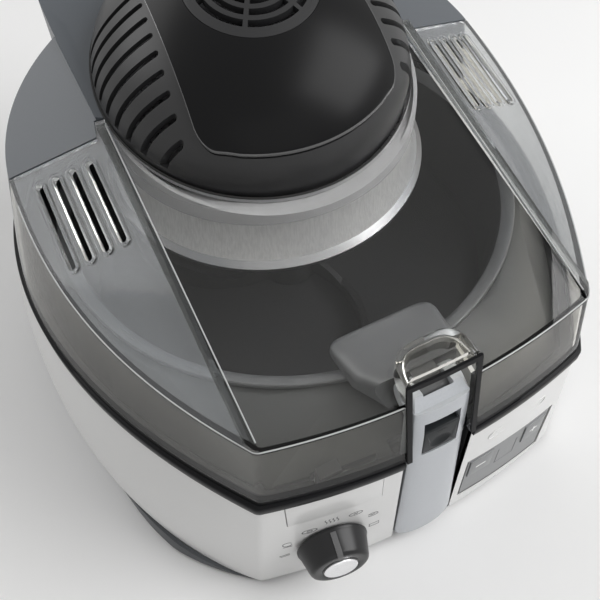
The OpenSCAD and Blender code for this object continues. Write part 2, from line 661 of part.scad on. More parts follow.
module below_window() {
  translate([0, 0, roof_z - lid_wall - gap]) rotate([tilt, 0, 0]) translate([-300, -320, -260])
    cube([600, 640, 260]);
}
drum_top = 185.3;
module drum() color([0.75, 0.75, 0.76]) intersection() {
  translate([0, cy_drum, 0]) rotate_extrude($fn = 120) polygon([[lip_r - 4.4, lip_z + 6],
    [drum_r + 0.9, lip_z + 18], [drum_r, drum_top], [drum_r - 1.2, drum_top],
    [drum_r - 0.3, lip_z + 18], [lip_r - 5.8, lip_z + 6]]);
  below_window();
}
module drum_lip() color([0.35, 0.35, 0.36]) translate([0, cy_drum, 0]) rotate_extrude($fn = 120)
  polygon([[lip_r - 6.4, lip_z + 1], [lip_r - 5.4, lip_z], [lip_r - 0.8, lip_z], [lip_r, lip_z + 0.8],
    [lip_r, lip_z + 2.6], [lip_r - 3.6, lip_z + 6], [lip_r - 6.4, lip_z + 6]]);
module drum_collar() color([0.62, 0.63, 0.64]) intersection() {
  translate([0, cy_drum, drum_top]) difference() {
    cylinder(r = drum_r - 0.1, h = 60, $fn = 120);
    translate([0, 0, -1]) cylinder(r = drum_r - 2.2, h = 70, $fn = 120);
  }
  translate([0, 0, roof_z - lid_wall - gap]) rotate([tilt, 0, 0]) translate([-300, -320, -260])
    cube([600, 640, 260]);
}

module guard_grille() color([0.72, 0.72, 0.73]) translate([0, cy_drum, lip_z + 3]) {
  for (r = [89, 76, 64, 52, 40, 28]) difference() {
    cylinder(r = r, h = 1.5, $fn = 96);
    translate([0, 0, -1]) cylinder(r = r - 3, h = 4, $fn = 96);
  }
  cylinder(r = 12, h = 1.5);
  for (a = [0:60:120]) rotate(a) translate([-87.5, -2, 0]) cube([175, 4, 1.5]);
}

module upper_heater() color([0.4, 0.4, 0.41]) translate([0, cy_drum, lip_z + 9]) {
  for (r = [76, 65]) rotate_extrude($fn = 96) translate([r, 0]) circle(r = 3.2, $fn = 24);
  for (s = [-1, 1]) {
    translate([s * 76, 0, 0]) cylinder(r = 3.2, h = 176 - lip_z - 9 - gap);
    translate([s * 65, 0, 0]) rotate([0, s * 90, 0]) cylinder(r = 2.4, h = 11);
  }
}

module fan_plate() color([0.7, 0.7, 0.71]) translate([0, cy_drum, 176]) difference() {
  cylinder(r = drum_r - 1, h = 1.2, $fn = 120);
  translate([0, 0, -1]) cylinder(r = 6, h = 4);
  for (a = [30:60:330]) rotate(a) translate([44, 0, -1]) cylinder(r = 7, h = 4);
}

module fan_motor() color([0.5, 0.5, 0.52]) translate([0, cy_drum, 0]) difference() {
  union() {
    translate([0, 0, 177.2]) cylinder(r = 29, h = 24);
    translate([0, 0, 201.2]) cylinder(r = 18, h = 10);
    for (a = [0:90:270]) rotate(a) translate([24, -5, 177.2]) cube([12, 10, 2]);
  }
  translate([0, 0, 160]) cylinder(r = 2.5 + run, h = 44);
}
module fan_shaft() color([0.8, 0.8, 0.82]) translate([0, cy_drum, 158]) cylinder(r = 2.5, h = 44);
module fan() color([0.78, 0.79, 0.8]) translate([0, cy_drum, 0]) difference() {
  union() {
    translate([0, 0, 159]) cylinder(r = 9, h = 13);
    translate([0, 0, 170.4]) cylinder(r = 46, h = 1.2, $fn = 72);
    for (a = [0:40:320]) rotate(a) translate([14, -0.8, 160]) rotate([0, 0, 18]) cube([30, 1.6, 10.6]);
  }
  translate([0, 0, 150]) cylinder(r = 2.5 + slip, h = 40);
}

module lid_catch() color([0.6, 0.6, 0.62]) difference() {
  union() {
    translate([-64, front_y + 2, 101]) cube([12, 2.4, 22]);
    translate([-64, front_y - 2, 119]) cube([12, 6.4, 4]);
  }
  translate([-61.5, front_y - 2, 104]) cube([7, 10, 6]);
}

// ---------- handle ----------
// One cross section of the grip at distance d below its top edge.
function grip_ring(d, w, yb) = let (f = 1.6 + 1.8 * min(1, d / 20)) [
  [-w, yb, -d], [-w, 0.4, -d], [-w * 0.66, -f * 0.62, -d], [-w * 0.33, -f, -d], [w * 0.33, -f, -d],
  [w * 0.66, -f * 0.62, -d], [w, 0.4, -d], [w, yb, -d]];
module handle_grip() color([0.72, 0.74, 0.77]) difference() {
  union() {
    handle_frame() loft([for (q = [[grip_l + 3, 0.8, 5], [grip_l, 0.95, 6.5], [grip_l - 6, 1, 8], [55, 0.88, 8], [8, 0.83, 9], [0, 0.8, 8]])
      grip_ring(q[0], grip_w * q[1], q[2])]);
    hull() {
      translate([-15.2, pivot_y, pivot_z]) rotate([0, 90, 0]) cylinder(r = 9, h = 30.4, $fn = 48);
      handle_frame() translate([-15.2, 0.6, -14]) cube([30.4, 6, 14]);
      translate([-12.9, pivot_y - 5, 157.4]) cube([25.8, 1, 1]);
    }
  }
  translate([-8.4, pivot_y - 5.8, 141.2]) cube([16.8, 40, 40]);
  translate([-8.4, pivot_y, pivot_z]) rotate([0, 90, 0]) cylinder(r = 7.2, h = 16.8);
  translate([-8.4, pivot_y - 5.8, 100]) cube([16.8, 30, 44]);
  translate([-18, pivot_y, pivot_z]) rotate([0, 90, 0]) cylinder(r = 3 + run, h = 36);
  handle_frame() translate([-10.4, -10, -40.6]) cube([20.8, 12.4, 30.2]);
}
module handle_slider() color([0.1, 0.1, 0.11]) handle_frame() difference() {
  translate([-10, -2.6, -40.2]) cube([20, 4.8, 21.5]);
  translate([0, -5.4, -32]) scale([1, 0.6, 0.9]) sphere(r = 7.4, $fn = 48);
  translate([-4, -3, -23]) cube([8, 1, 1]);
}

// ---------- controls ----------
module knob() color([0.05, 0.05, 0.05]) knob_frame() difference() {
  rotate_extrude($fn = 96) polygon([[0, 1.4], [knob_r, 1.4], [knob_r, 3.2], [knob_r - 0.8, 4.2],
    [knob_r - 3.8, knob_h - 1.6], [knob_r - 5.6, knob_h], [0, knob_h]]);
  cylinder(r = 3 + slip, h = 12);
  translate([0, 0, knob_h - 0.6]) cylinder(r = 10.2, h = 3);
  translate([-1.9, knob_r - 8, knob_h - 1.2]) cube([3.8, 12, 4]);
}
module knob_pointer() color([0.5, 0.5, 0.5]) knob_frame() hull() {
  translate([-1.7, knob_r - 7.8, knob_h - 1.2]) cube([3.4, 1, 1.5]);
  translate([-1.7, knob_r - 4.4, knob_h - 1.2]) cube([3.4, 1, 1.4]);
}
module knob_cap() color([0.85, 0.85, 0.86]) knob_frame() translate([0, 0, knob_h - 0.6]) {
  cylinder(r = 10, h = 1.3);
  translate([0, 0, 1.3]) cylinder(r1 = 10, r2 = 9.2, h = 0.6);
}
module knob_shaft() color([0.8, 0.8, 0.82]) knob_frame() translate([0, 0, -20]) cylinder(r = 3, h = 31.5);
module selector_switch() color([0.15, 0.15, 0.16]) knob_frame() difference() {
  union() {
    translate([-15, -15, -23]) cube([30, 30, 17]);
    translate([0, 0, -6]) cylinder(r = 4.6, h = 5.6);
    for (x = [-10, 0, 10]) translate([x - 1.5, -13, -28]) cube([3, 0.8, 6]);
  }
  translate([0, 0, -21]) cylinder(r = 3 + run, h = 30);
}

module display_panel() color([0.22, 0.23, 0.25]) {
  difference() {
    face_patch(25.8, 94.2, [15.8, 7.8], [66.2, 58.2], -0.4, 2.6, 8);
    face_patch(28.4, 46.6, [41.4, 39.4], [61.6, 59.6], 4, 8, 3);
    face_patch(72.4, 90.6, [35.4, 33.4], [55.6, 53.6], 4, 8, 3);
  }
  for (p = [[30, 31], [88, 31], [53, 54], [67, 54]]) let (y = face_y(p[0], p[1] + 2) + 1.8)
    translate([p[0], y, p[1]]) rotate([-90, 0, 0])
      cylinder(r = 2.4, h = front_y - 0.4 + (p[0] - 59) * 0.151 - y);
}
module minus_button() color([0.24, 0.25, 0.27])
  face_patch(28.8, 46.2, [41.8, 39.8], [61.2, 59.2], 0.4, 5, 3);
module plus_button() color([0.24, 0.25, 0.27])
  face_patch(72.8, 90.2, [35.8, 33.8], [55.2, 53.2], 0.4, 5, 3);
module control_board() color([0.1, 0.35, 0.2]) translate([59, front_y, 37]) rotate([0, 0, 8.6]) {
  translate([-34, 0, -22]) cube([68, 1.6, 44]);
  translate([-20, 1.6, -12]) cube([14, 4, 14]);
  for (x = [8, 16, 24]) translate([x, 1.6, 4]) rotate([-90, 0, 0]) cylinder(r = 3, h = 8);
}

module release_button() color([0.93, 0.93, 0.92]) {
  face_patch(-84.2, -31.8, [81.8, 81.8], [shell_top - 0.6, shell_top - 0.6], 0.3, 2.6);
  translate([-50.4, front_y - 8.4, 98]) cube([5, 12.8, 4]);
}
module latch_lever() color([0.6, 0.6, 0.62]) difference() {
  union() {
    translate([-63, front_y + 5, 86]) cube([16, 2.2, 17]);
    translate([-63, front_y + 8, 88]) rotate([0, 90, 0]) cylinder(r = 3.4, h = 16);
  }
  translate([-70, front_y + 8, 88]) rotate([0, 90, 0]) cylinder(r = 1.5 + run, h = 30);
}
module latch_pin() color([0.75, 0.75, 0.77]) {
  translate([-66, front_y + 8, 88]) rotate([0, 90, 0]) cylinder(r = 1.5, h = 22);
}

// ---------- supply ----------
module cord_gland() color([0.07, 0.07, 0.07]) translate([0, gland_y, gland_z]) rotate([-90, 0, 0])
  difference() {
    union() {
      translate([0, 0, -20]) cylinder(r = 6.1, h = 21);
      translate([0, 0, 0.5]) cylinder(r = 9, h = gland_h - 0.5);
    }
    translate([0, 0, -25]) cylinder(r = 3.6, h = 50);
  }
module terminal_block() color([0.9, 0.9, 0.88]) translate([34, 120, pan_z + pan_t]) {
  cube([30, 14, 12]);
  for (x = [5, 15, 25]) translate([x, 4, 12]) cylinder(r = 2.4, h = 1);
}

// ---------- drawing ----------
base_pan();
feet();
base_screws();
body_shell();
rim_trim();
top_deck();
well_liner();
lower_heater();
gear_motor();
shaft_bush();
foot_bearing();
bowl();
bowl_rim();
handle_mount();
handle_pin();
display_panel();
control_board();
selector_switch();
thermostat();
cord_gland();
terminal_block();
hinge_bracket();
hinge_pins();
latch_pin();
drive_shaft();
drive_gear();
paddle();
motor_pinion();
lid_window();
lid_rear_shell();
hinge_arms();
notch_frame();
dome_cover();
dome_insert();
top_grille();
drum();
drum_lip();
drum_collar();
guard_grille();
upper_heater();
fan_plate();
fan_motor();
lid_catch();
fan();
fan_shaft();
handle_grip();
handle_slider();
knob();
knob_pointer();
knob_cap();
knob_shaft();
minus_button();
plus_button();
release_button();
latch_lever();
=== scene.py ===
# %% [markdown]
# # A deep fryer under studio light
# The construction model gives every piece its place and size in metres. This lesson
# dresses it: camera, floor and lamps first, then finishes, then the curved skins that a
# construction model shows only as flat facets.

# %% Load the construction model
import math
import bmesh
import bpy
import numpy as np
from mathutils import Matrix


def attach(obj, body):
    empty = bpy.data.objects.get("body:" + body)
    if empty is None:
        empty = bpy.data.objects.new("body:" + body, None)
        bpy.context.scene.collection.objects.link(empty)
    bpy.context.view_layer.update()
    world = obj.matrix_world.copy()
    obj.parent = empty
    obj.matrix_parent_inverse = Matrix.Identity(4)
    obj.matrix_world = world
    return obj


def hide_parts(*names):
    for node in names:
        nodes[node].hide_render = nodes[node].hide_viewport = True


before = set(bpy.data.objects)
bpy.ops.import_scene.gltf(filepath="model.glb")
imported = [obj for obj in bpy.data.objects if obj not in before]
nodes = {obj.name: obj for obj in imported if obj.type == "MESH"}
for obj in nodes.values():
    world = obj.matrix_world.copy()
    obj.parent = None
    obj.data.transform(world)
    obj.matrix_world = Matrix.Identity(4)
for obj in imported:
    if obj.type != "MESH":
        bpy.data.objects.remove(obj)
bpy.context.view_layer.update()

# %% [markdown]
# ## The camera
# A camera is a place and three directions. The azimuth turns it round the fryer, the
# elevation raises it, and a small roll tips the frame. The lens is the focal length in
# picture widths times the width of the sensor.

# %% Camera
scene = bpy.context.scene


def linked(name, data):
    """A new object with this data, put into the scene."""
    obj = bpy.data.objects.new(name, data)
    scene.collection.objects.link(obj)
    return obj


def pose(axes, place):
    """The matrix whose columns are the three axes and, last, the place."""
    return Matrix([[*row, shift] for row, shift in zip(axes, place)] + [[0, 0, 0, 1]])


def about(axis, angle):
    """The matrix that turns by an angle in radians about the axis x, y or z."""
    i = ("xyz".index(axis) + 1) % 3
    j = (i + 1) % 3
    matrix = np.eye(3)
    matrix[i, i] = matrix[j, j] = math.cos(angle)
    matrix[j, i] = math.sin(angle)
    matrix[i, j] = -matrix[j, i]
    return matrix


eye, focal, sensor = (-0.1269, -0.2907, 0.4815), 762 / 600, 36
azimuth, elevation, roll = (math.radians(a) for a in (-24.81, 56.10, -2.08))
camera_data = bpy.data.cameras.new("camera")
camera_data.lens, camera_data.sensor_width = focal * sensor, sensor
camera_data.clip_start, camera_data.clip_end = 0.01, 20
scene.camera = linked("camera", camera_data)
axes = about("z", azimuth) @ about("x", math.pi / 2 - elevation) @ about("z", roll)
scene.camera.matrix_world = pose(axes, eye)
print("lens", round(camera_data.lens, 2), "mm")

# %% [markdown]
# ## Floor, backdrop and lamps
# Soft light comes from large lamps, because a small lamp gives hard shadows and tiny
# highlights. The ground is pale by its colour as the camera sees it, not by more light.

# %% Floor and world
def fresh(tree, *kinds):
    """New shader nodes of these kinds."""
    return [tree.nodes.new("ShaderNode" + kind) for kind in kinds]


def put(node, **values):
    """Sets inputs of a node, where _ in a name stands for a space, and returns the node."""
    for name, value in values.items():
        node.inputs[name.replace("_", " ")].default_value = value
    return node


def wire(tree, *joints):
    """One link for each joint of node, output, node and input."""
    for source, output, target, place in joints:
        tree.links.new(source.outputs[output], target.inputs[place])


def mix_at(tree, end, share, near, far):
    """Sends near (1 - share) + far share to the surface of the end node; all are sockets."""
    mix, = fresh(tree, "MixShader")
    for place, socket in enumerate((share, near, far)):
        tree.links.new(socket, mix.inputs[place])
    wire(tree, (mix, "Shader", tree.nodes[end], "Surface"))


def node_material(name="finish"):
    """An empty node material and its nodes: (material, tree, surface shader)."""
    material = bpy.data.materials.new(name)
    material.use_nodes = True
    tree = material.node_tree
    return material, tree, tree.nodes["Principled BSDF"]


def seen_rays(tree):
    """A socket: 1 for rays that show something to the camera, also mirrored or through
    glass, and 0 for rays that only carry light."""
    rays, either, also = fresh(tree, "LightPath", "Math", "Math")
    either.operation = also.operation = "MAXIMUM"
    wire(tree, (rays, "Is Camera Ray", either, 0), (rays, "Is Glossy Ray", either, 1),
         (either, "Value", also, 0), (rays, "Is Transmission Ray", also, 1))
    return also.outputs["Value"]


def stage_material(colour, near=0.5, far=1.5):
    """A dull pale floor that fades, from near to far metres out, into the backdrop's own
    tone for the rays that show it."""
    material, tree, shader = node_material("stage_ground")
    put(shader, Base_Color=(*colour, 1), Roughness=0.9)
    kinds = "TexCoord", "VectorMath", "MapRange", "Math", "Emission"
    coord, length, fade, both, glow = fresh(tree, *kinds)
    length.operation, fade.interpolation_type, both.operation = "LENGTH", "SMOOTHSTEP", "MULTIPLY"
    put(fade, From_Min=near, From_Max=far)
    put(glow, Color=backdrop, Strength=backdrop_light)
    wire(tree, (coord, "Object", length, 0), (length, "Value", fade, "Value"),
         (fade, "Result", both, 0))
    tree.links.new(seen_rays(tree), both.inputs[1])
    mix_at(tree, "Material Output", both.outputs["Value"], shader.outputs["BSDF"],
           glow.outputs["Emission"])
    return material


backdrop, backdrop_light = (0.93, 0.93, 0.92, 1), 0.92
floor_mesh = bpy.data.meshes.new("floor")
floor_mesh.from_pydata([(-6, -6, 0), (6, -6, 0), (6, 6, 0), (-6, 6, 0)], [], [(0, 1, 2, 3)])
floor_mesh.materials.append(stage_material((0.9, 0.9, 0.9)))
linked("floor", floor_mesh)

scene.world = bpy.data.worlds.new("studio")
scene.world.use_nodes = True
sky = scene.world.node_tree
ambient = put(sky.nodes["Background"], Color=(1.0, 0.99, 0.975, 1), Strength=0.29)
shown = put(*fresh(sky, "Background"), Color=backdrop, Strength=backdrop_light)
mix_at(sky, "World Output", seen_rays(sky), ambient.outputs["Background"],
       shown.outputs["Background"])


def lamp(name, place, aim, size, power):
    """A rectangular area lamp at place (metres) that faces the point aim."""
    data = bpy.data.lights.new(name, "AREA")
    data.shape, data.energy = "RECTANGLE", power
    data.size, data.size_y = size
    z = np.subtract(place, aim)
    z /= np.linalg.norm(z)
    x = np.cross([0, 0, 1.0], z)
    x /= np.linalg.norm(x)
    linked(name, data).matrix_world = pose(np.array([x, np.cross(z, x), z]).T, place)


lamp("key_lamp", (1.2, -0.65, 1.25), (0, 0, 0.12), (1.3, 1.3), 26)
lamp("fill_lamp", (-0.2, -1.6, 1.0), (0, 0, 0.1), (1.6, 1.2), 2)
lamp("back_lamp", (-0.85, 1.1, 1.3), (0, 0, 0.12), (1.4, 0.9), 11)
scene.view_settings.view_transform = "Standard"

# %% [markdown]
# ## Finishes
# Moulded plastic is never one even colour: a faint mottle and a fine grain break up its
# highlight. A brushed metal has long thin streaks.

# %% Plastic, metal and glass
def grain(tree, shader, scale, bump, spread, base, tint=0.04, stretch=(1, 1, 1)):
    """Noise n on Object coordinates: roughness = base + spread (2 n - 1), colour from
    (1 - tint) to (1 + tint) of its own, and a bump of the given height in metres."""
    colour = shader.inputs["Base Color"].default_value[:3]
    coord, place, noise, ramp = fresh(tree, "TexCoord", "Mapping", "TexNoise", "ValToRGB")
    put(place, Scale=stretch)
    put(noise, Scale=scale, Detail=2)
    put(shader, Roughness=base)
    dark, pale = ramp.color_ramp.elements
    dark.position, pale.position = 0.35, 0.65
    dark.color = (*[c * (1 - tint) for c in colour], 1)
    pale.color = (*[min(1, c * (1 + tint)) for c in colour], 1)
    wire(tree, (coord, "Object", place, "Vector"), (place, "Vector", noise, "Vector"),
         (noise, "Fac", ramp, "Fac"), (ramp, "Color", shader, "Base Color"))
    if spread:
        rough = put(*fresh(tree, "MapRange"), To_Min=max(0.02, base - spread), To_Max=base + spread)
        wire(tree, (noise, "Fac", rough, "Value"), (rough, "Result", shader, "Roughness"))
    if bump:
        raised = put(*fresh(tree, "Bump"), Strength=0.35, Distance=bump)
        wire(tree, (noise, "Fac", raised, "Height"), (raised, "Normal", shader, "Normal"))


def plastic(colour, rough, coat=0.0, scale=900, bump=1e-5, tint=0.04, level=0.5, metallic=0.0,
            stretch=(1, 1, 1)):
    """A moulded plastic: coat is a clear gloss over it, level its mirror strength and
    metallic the share of metal flake."""
    material, tree, shader = node_material()
    put(shader, Base_Color=(*colour, 1), Specular_IOR_Level=level, Metallic=metallic,
        Coat_Weight=coat, Coat_Roughness=0.04)
    grain(tree, shader, scale, bump, 0.03, rough, tint, stretch)
    return material


def metal(colour, rough, stretch=(1, 1, 1), scale=300, bump=2e-5, tint=0.06, share=1.0):
    """A bare metal: stretch draws the grain out into brushed lines, and a share below 1
    gives a satin that scatters some light."""
    return plastic(colour, rough, 0.0, scale, bump, tint, 0.5, share, stretch)


def clear_plastic(colour, rough, lamps, passes=1.0):
    """A see-through plastic: colour is the tint of each face, and passes the share of light
    that goes through, where the rest is haze. Rays to the lamps pass dimmed by lamps."""
    material, tree, shader = node_material()
    put(shader, Base_Color=(*colour, 1), Transmission_Weight=passes, IOR=1.3)
    grain(tree, shader, 260, 0.0, 0.0, rough, 0.015)
    path, thin = fresh(tree, "LightPath", "BsdfTransparent")
    put(thin, Color=(*lamps, 1))
    mix_at(tree, "Material Output", path.outputs["Is Shadow Ray"], shader.outputs["BSDF"],
           thin.outputs["BSDF"])
    return material


finishes = {
    "white_gloss": plastic((0.74, 0.74, 0.735), 0.3, 0.25, 2200, 3e-6, 0.012),
    "black_gloss": plastic((0.005, 0.005, 0.006), 0.36, 0, 1500, 0, level=0.12),
    "crown_black": plastic((0.004, 0.004, 0.0045), 0.3, 0, 1500, 2e-6, level=0.14),
    "black_matt": plastic((0.014, 0.014, 0.015), 0.5, level=0.35),
    "dome_graphite": plastic((0.022, 0.022, 0.023), 0.42, 0, 1600, 1e-5, level=0.4),
    # grey of the thin ring round the crown: painted highlight on the panel's edge
    "crown_highlight_grey": plastic((0.1, 0.1, 0.102), 0.2, 0.3, 900, 0, 0.03),
    "knob_black": plastic((0.008, 0.008, 0.009), 0.3, 0, 1600, 4e-6, level=0.35),
    "catch_black": plastic((0.016, 0.018, 0.02), 0.42, 0, 1600, 2e-6, level=0.2),
    "dark_grey": plastic((0.05, 0.055, 0.062), 0.42),
    "slate": plastic((0.075, 0.085, 0.098), 0.4, 0.05, 1800, 1e-5),
    "deck_grey": plastic((0.03, 0.031, 0.031), 0.5, 0, 320, 0, 0.02),
    "rim_grey": plastic((0.075, 0.077, 0.08), 0.34, 0.1, 420, 0, 0.02),
    "mount_grey": plastic((0.07, 0.072, 0.076), 0.42, 0, 420, 0, 0.02),
    "panel_grey": plastic((0.2, 0.205, 0.21), 0.36, 0.1, 1800, 4e-6),
    "rib_grey": plastic((0.11, 0.11, 0.112), 0.4),
    "light_grey": plastic((0.26, 0.26, 0.268), 0.55, 0, 400, 0, 0.02, level=0.15),
    "cap_silver": metal((0.86, 0.86, 0.87), 0.36, (1, 1, 1), 900, 2e-6, 0.03),
    "print_grey": plastic((0.12, 0.12, 0.125), 0.55),
    "print_white": plastic((0.85, 0.85, 0.84), 0.45),
    "silver": plastic((0.5, 0.52, 0.55), 0.3, 0.2, 900, 1e-6, 0.02, metallic=0.35),
    "non_stick": plastic((0.02, 0.02, 0.021), 0.42, 0, 320, 0, 0.03),
    "rubber": plastic((0.02, 0.02, 0.02), 0.75),
    "steel": metal((0.62, 0.62, 0.63), 0.28, bump=4e-6),
    "brushed": metal((0.82, 0.82, 0.83), 0.34, (12, 12, 1), 90, 0, 0.06, share=0.7),
    "lip_steel": metal((0.3, 0.3, 0.31), 0.36, (1, 1, 12), 70, 0, 0.03),
    "brass": metal((0.65, 0.48, 0.2), 0.35),
    "element": metal((0.2, 0.2, 0.21), 0.5),
    "smoke": clear_plastic((0.76, 0.75, 0.71), 0, (0.82, 0.81, 0.78)),
    # pale gloss of the beads: painted highlight on the lid's edges and rails
    "edge_highlight_gloss": plastic((0.5, 0.51, 0.51), 0.16, 0.4, 900, 0, 0.03),
    # dark tint for the faces of the rails: painted shade of the step in the clear lid
    "rail_shade": clear_plastic((0.28, 0.29, 0.29), 0, (0.5, 0.5, 0.5)),
    "clear": clear_plastic((0.96, 0.96, 0.95), 0, (0.97, 0.97, 0.96)),
    "haze": clear_plastic((0.76, 0.78, 0.8), 0.08, (0.8, 0.81, 0.82), 0.88),
    "board": plastic((0.01, 0.1, 0.04), 0.4),
    "switch": plastic((0.05, 0.05, 0.055), 0.5),
}
for name, material in finishes.items():
    material.name = name
worn_by = """\
white_gloss: body_shell release_button
black_gloss: rim_trim notch_frame
crown_black: dome_insert
catch_black: handle_slider
black_matt: top_grille cord_gland paddle lid_catch
dome_graphite: dome_cover
knob_black: knob
dark_grey: base_pan
panel_grey: display_panel minus_button plus_button
mount_grey: handle_mount
slate: lid_rear_shell
deck_grey: top_deck
rim_grey: bowl_rim
rib_grey: knob_pointer
light_grey: drum_collar terminal_block thermostat drive_gear motor_pinion
silver: handle_grip
non_stick: bowl
rubber: feet
steel: hinge_bracket hinge_pins hinge_arms handle_pin latch_pin latch_lever drive_shaft fan_shaft
steel: knob_shaft base_screws fan fan_plate guard_grille gear_motor fan_motor well_liner
cap_silver: knob_cap
brushed: drum drum_lip
brass: foot_bearing shaft_bush
element: lower_heater upper_heater
smoke: lid_window
board: control_board
switch: selector_switch"""
dressed = set()
for line in worn_by.splitlines():
    finish, wearers = line.split(": ")
    for name in wearers.split():
        nodes[name].data.materials.clear()
        nodes[name].data.materials.append(finishes[finish])
        dressed.add(name)
print("nodes dressed:", len(dressed), "left:", sorted(set(nodes) - dressed))

# %% [markdown]
# ## Outlines
# Seen from above the fryer is one closed outline: a bowed front between two corners,
# flanks that swell to the widest place, and a half ellipse round the rear. As a formula it
# lets every skin follow it at any height. Lengths here are in millimetres.

# %% The outline formula
half_w, corner_x, corner_y, bow, belly = 163.4, 97.0, 168.0, 12.7, 12.0
rear_y, shell_top, wall, pan_z, mid_foot, mid_top = 197.0, 108.3, 2.6, 3.0, 35, 12
trim_low, trim_high, lid_low, lid_wall = 108.6, 116.1, 116.4, 3.0
roof_z, slope, rail_x, dome_mid, dome_r, dome_h = 197.2, 0.204, 92.5, 35.0, 88.0, 54.0
tilt = math.atan(slope)
foot_in, foot_x, foot_y, foot_rear = 3.4, 7.7, 4.2, 4  # how the shell's foot differs from its top
lean_x, lean_y, lean_bow = 0.0956, 0.1247, 0.073  # how the lid's front leans in, per mm of height


def ray(a):
    """The unit vectors (cos a, sin a) as (n, 2)."""
    return np.stack([np.cos(a), np.sin(a)], 1)


def outline(z, inset, half, mid_y, cx, cy, front_bow, rear, power, reach=2.2):
    """Closed outline (n, 3) at height z, anticlockwise from the right front corner and
    smaller by inset. Flank x = half - (half - cx) s^power, y = mid_y - (mid_y + cy) s; rear
    is half an ellipse; front y = -cy - front_bow (1 - (x / cx)^2); corners are quadratic
    arcs that start reach mm from the corner."""
    half, cx, cy, rear = half - inset, cx - inset, cy - inset, rear - inset
    run = math.hypot((half - cx) * power, mid_y + cy)
    s = np.linspace(1 - reach / run, 0, 46)[:-1]
    flank = np.stack([half - (half - cx) * s ** power, mid_y - (mid_y + cy) * s], 1)
    rear_arc = [0, mid_y] + ray(np.linspace(0, math.pi, 91)) * [half, rear - mid_y]
    u = np.linspace(-1 + reach / cx, 1 - reach / cx, 61)
    front = np.stack([cx * u, -cy - front_bow * (1 - u ** 2)], 1)
    t = np.linspace(0, 1, 8)[1:-1, None]
    corner = np.array([[cx, -cy]])
    round_right = (1 - t) ** 2 * front[-1:] + 2 * t * (1 - t) * corner + t ** 2 * flank[:1]
    flank_left, round_left = (part[::-1] * [-1, 1] for part in (flank, round_right))
    plan = np.concatenate([flank, rear_arc, flank_left, round_left, front, round_right])
    return at_height(plan, z)


def at_height(plan, z):
    """The plan outline (n, 2) lifted to height z, as (n, 3)."""
    return np.column_stack([plan, np.full(len(plan), float(z))])


def body_corner(z):
    """The share t of the shell's height at z, and X and Y of the front corner there."""
    t = (z - pan_z) / (shell_top - pan_z)
    return t, corner_x + foot_x - foot_x * t, corner_y + foot_y - foot_y * t


def body_ring(z, inset=0.0):
    """The body's outline: its flank swells by 4 belly t (1 - t) up the shell."""
    t, cx, cy = body_corner(z)
    half = half_w - foot_in + foot_in * t + 4 * belly * t * (1 - t)
    return outline(z, inset, half, mid_foot - (mid_foot - mid_top) * t, cx, cy, bow,
                   rear_y - foot_rear + foot_rear * t, 4 - 2 * t)


def trim_ring(z, inset=0.0):
    """The band's outline: it stands a little proud of the body."""
    return outline(z, inset, half_w + 1.7, mid_top, corner_x + 1.2, corner_y + 1.2, bow + 0.4,
                   rear_y + 0.6, 2)


def lid_ring(z, inset=0.0):
    """The lid's outline: its walls lean inwards as they rise."""
    d = z - lid_low
    return outline(z, inset, half_w - 0.27 * d, mid_top + 0.33 * d, corner_x - 0.8 - lean_x * d,
                   corner_y - 0.4 - lean_y * d, bow + 0.8 - lean_bow * d, rear_y - 21 - 0.65 * d, 2)


def face_y(x, z):
    """Y of the body's front face at x and z."""
    _, cx, cy = body_corner(z)
    return -cy - bow * (1 - (x / cx) ** 2)


print("points in an outline:", len(body_ring(50)))

# %% [markdown]
# ## From grids to pieces
# A skin is a grid of points. These helpers make closed solids from stacks of outlines,
# carve one with another, and set the result on its moving body.

# %% Grid helpers
def grid_quads(rows, columns):
    """Quads of a grid of rows by columns, as (k, 4), with the last column next to the first."""
    j, i = np.meshgrid(np.arange(rows - 1), np.arange(columns), indexing="ij")
    k, low, high = (i + 1) % columns, j * columns, (j + 1) * columns
    return np.stack([low + i, low + k, high + k, high + i], -1).reshape(-1, 4)


def draft(points, faces):
    """A mesh object from points in millimetres, not yet a finished piece."""
    mesh = bpy.data.meshes.new("draft")
    mesh.from_pydata((np.asarray(points, float) * 0.001).tolist(), [], faces)
    mesh.update()
    return linked("draft", mesh)


def loft(rings):
    """A closed solid through a stack of outlines (m, n, 3), anticlockwise and rising."""
    rings = np.asarray(rings, float)
    m, n = rings.shape[:2]
    caps = [list(range(n - 1, -1, -1)), list(range((m - 1) * n, m * n))]
    return draft(rings.reshape(-1, 3), grid_quads(m, n).tolist() + caps)


def tube_loft(rings):
    """A ring-shaped solid: the stack of outlines goes round and closes on its own start."""
    rings = np.asarray(rings, float)
    m, n = rings.shape[:2]
    return draft(rings.reshape(-1, 3), (grid_quads(m + 1, n) % (m * n)).tolist())


def upright(plan, low, high, turn=None):
    """A straight prism on a plan outline."""
    return loft([moved(at_height(np.asarray(plan, float), z), turn) for z in (low, high)])


def crosswise(side_view, x0, x1):
    """A straight prism along X on an outline of y and z."""
    return loft([np.column_stack([np.full(len(side_view), float(x)), side_view]) for x in (x0, x1)])


def around(n):
    """A full turn in n equal steps."""
    return np.linspace(0, 2 * math.pi, n, endpoint=False)


def circle(r, x=0.0, y=0.0, n=96):
    """A circle of radius r as an outline of n points."""
    return [x, y] + r * ray(around(n))


def bent(v, power):
    """v with its size raised to a power and its sign kept."""
    return np.sign(v) * np.abs(v) ** power


def moved(points, turn):
    """Points p turned and shifted to p M^T + s by turn = (M, s), or left when it is None."""
    return points if turn is None else points @ turn[0].T + turn[1]


def rework(mesh, change, source=None):
    """Lets change(work) edit the mesh, or a copy of the source in it, as a BMesh."""
    work = bmesh.new()
    work.from_mesh(mesh if source is None else source)
    change(work)
    work.to_mesh(mesh)
    work.free()
    return mesh


def close_poles(work):
    """Joins the points that meet on an axis, so that no sliver stays."""
    bmesh.ops.remove_doubles(work, verts=work.verts, dist=2e-6)
    loose = [e for e in work.edges if not e.link_faces]
    bmesh.ops.delete(work, geom=loose, context="EDGES")


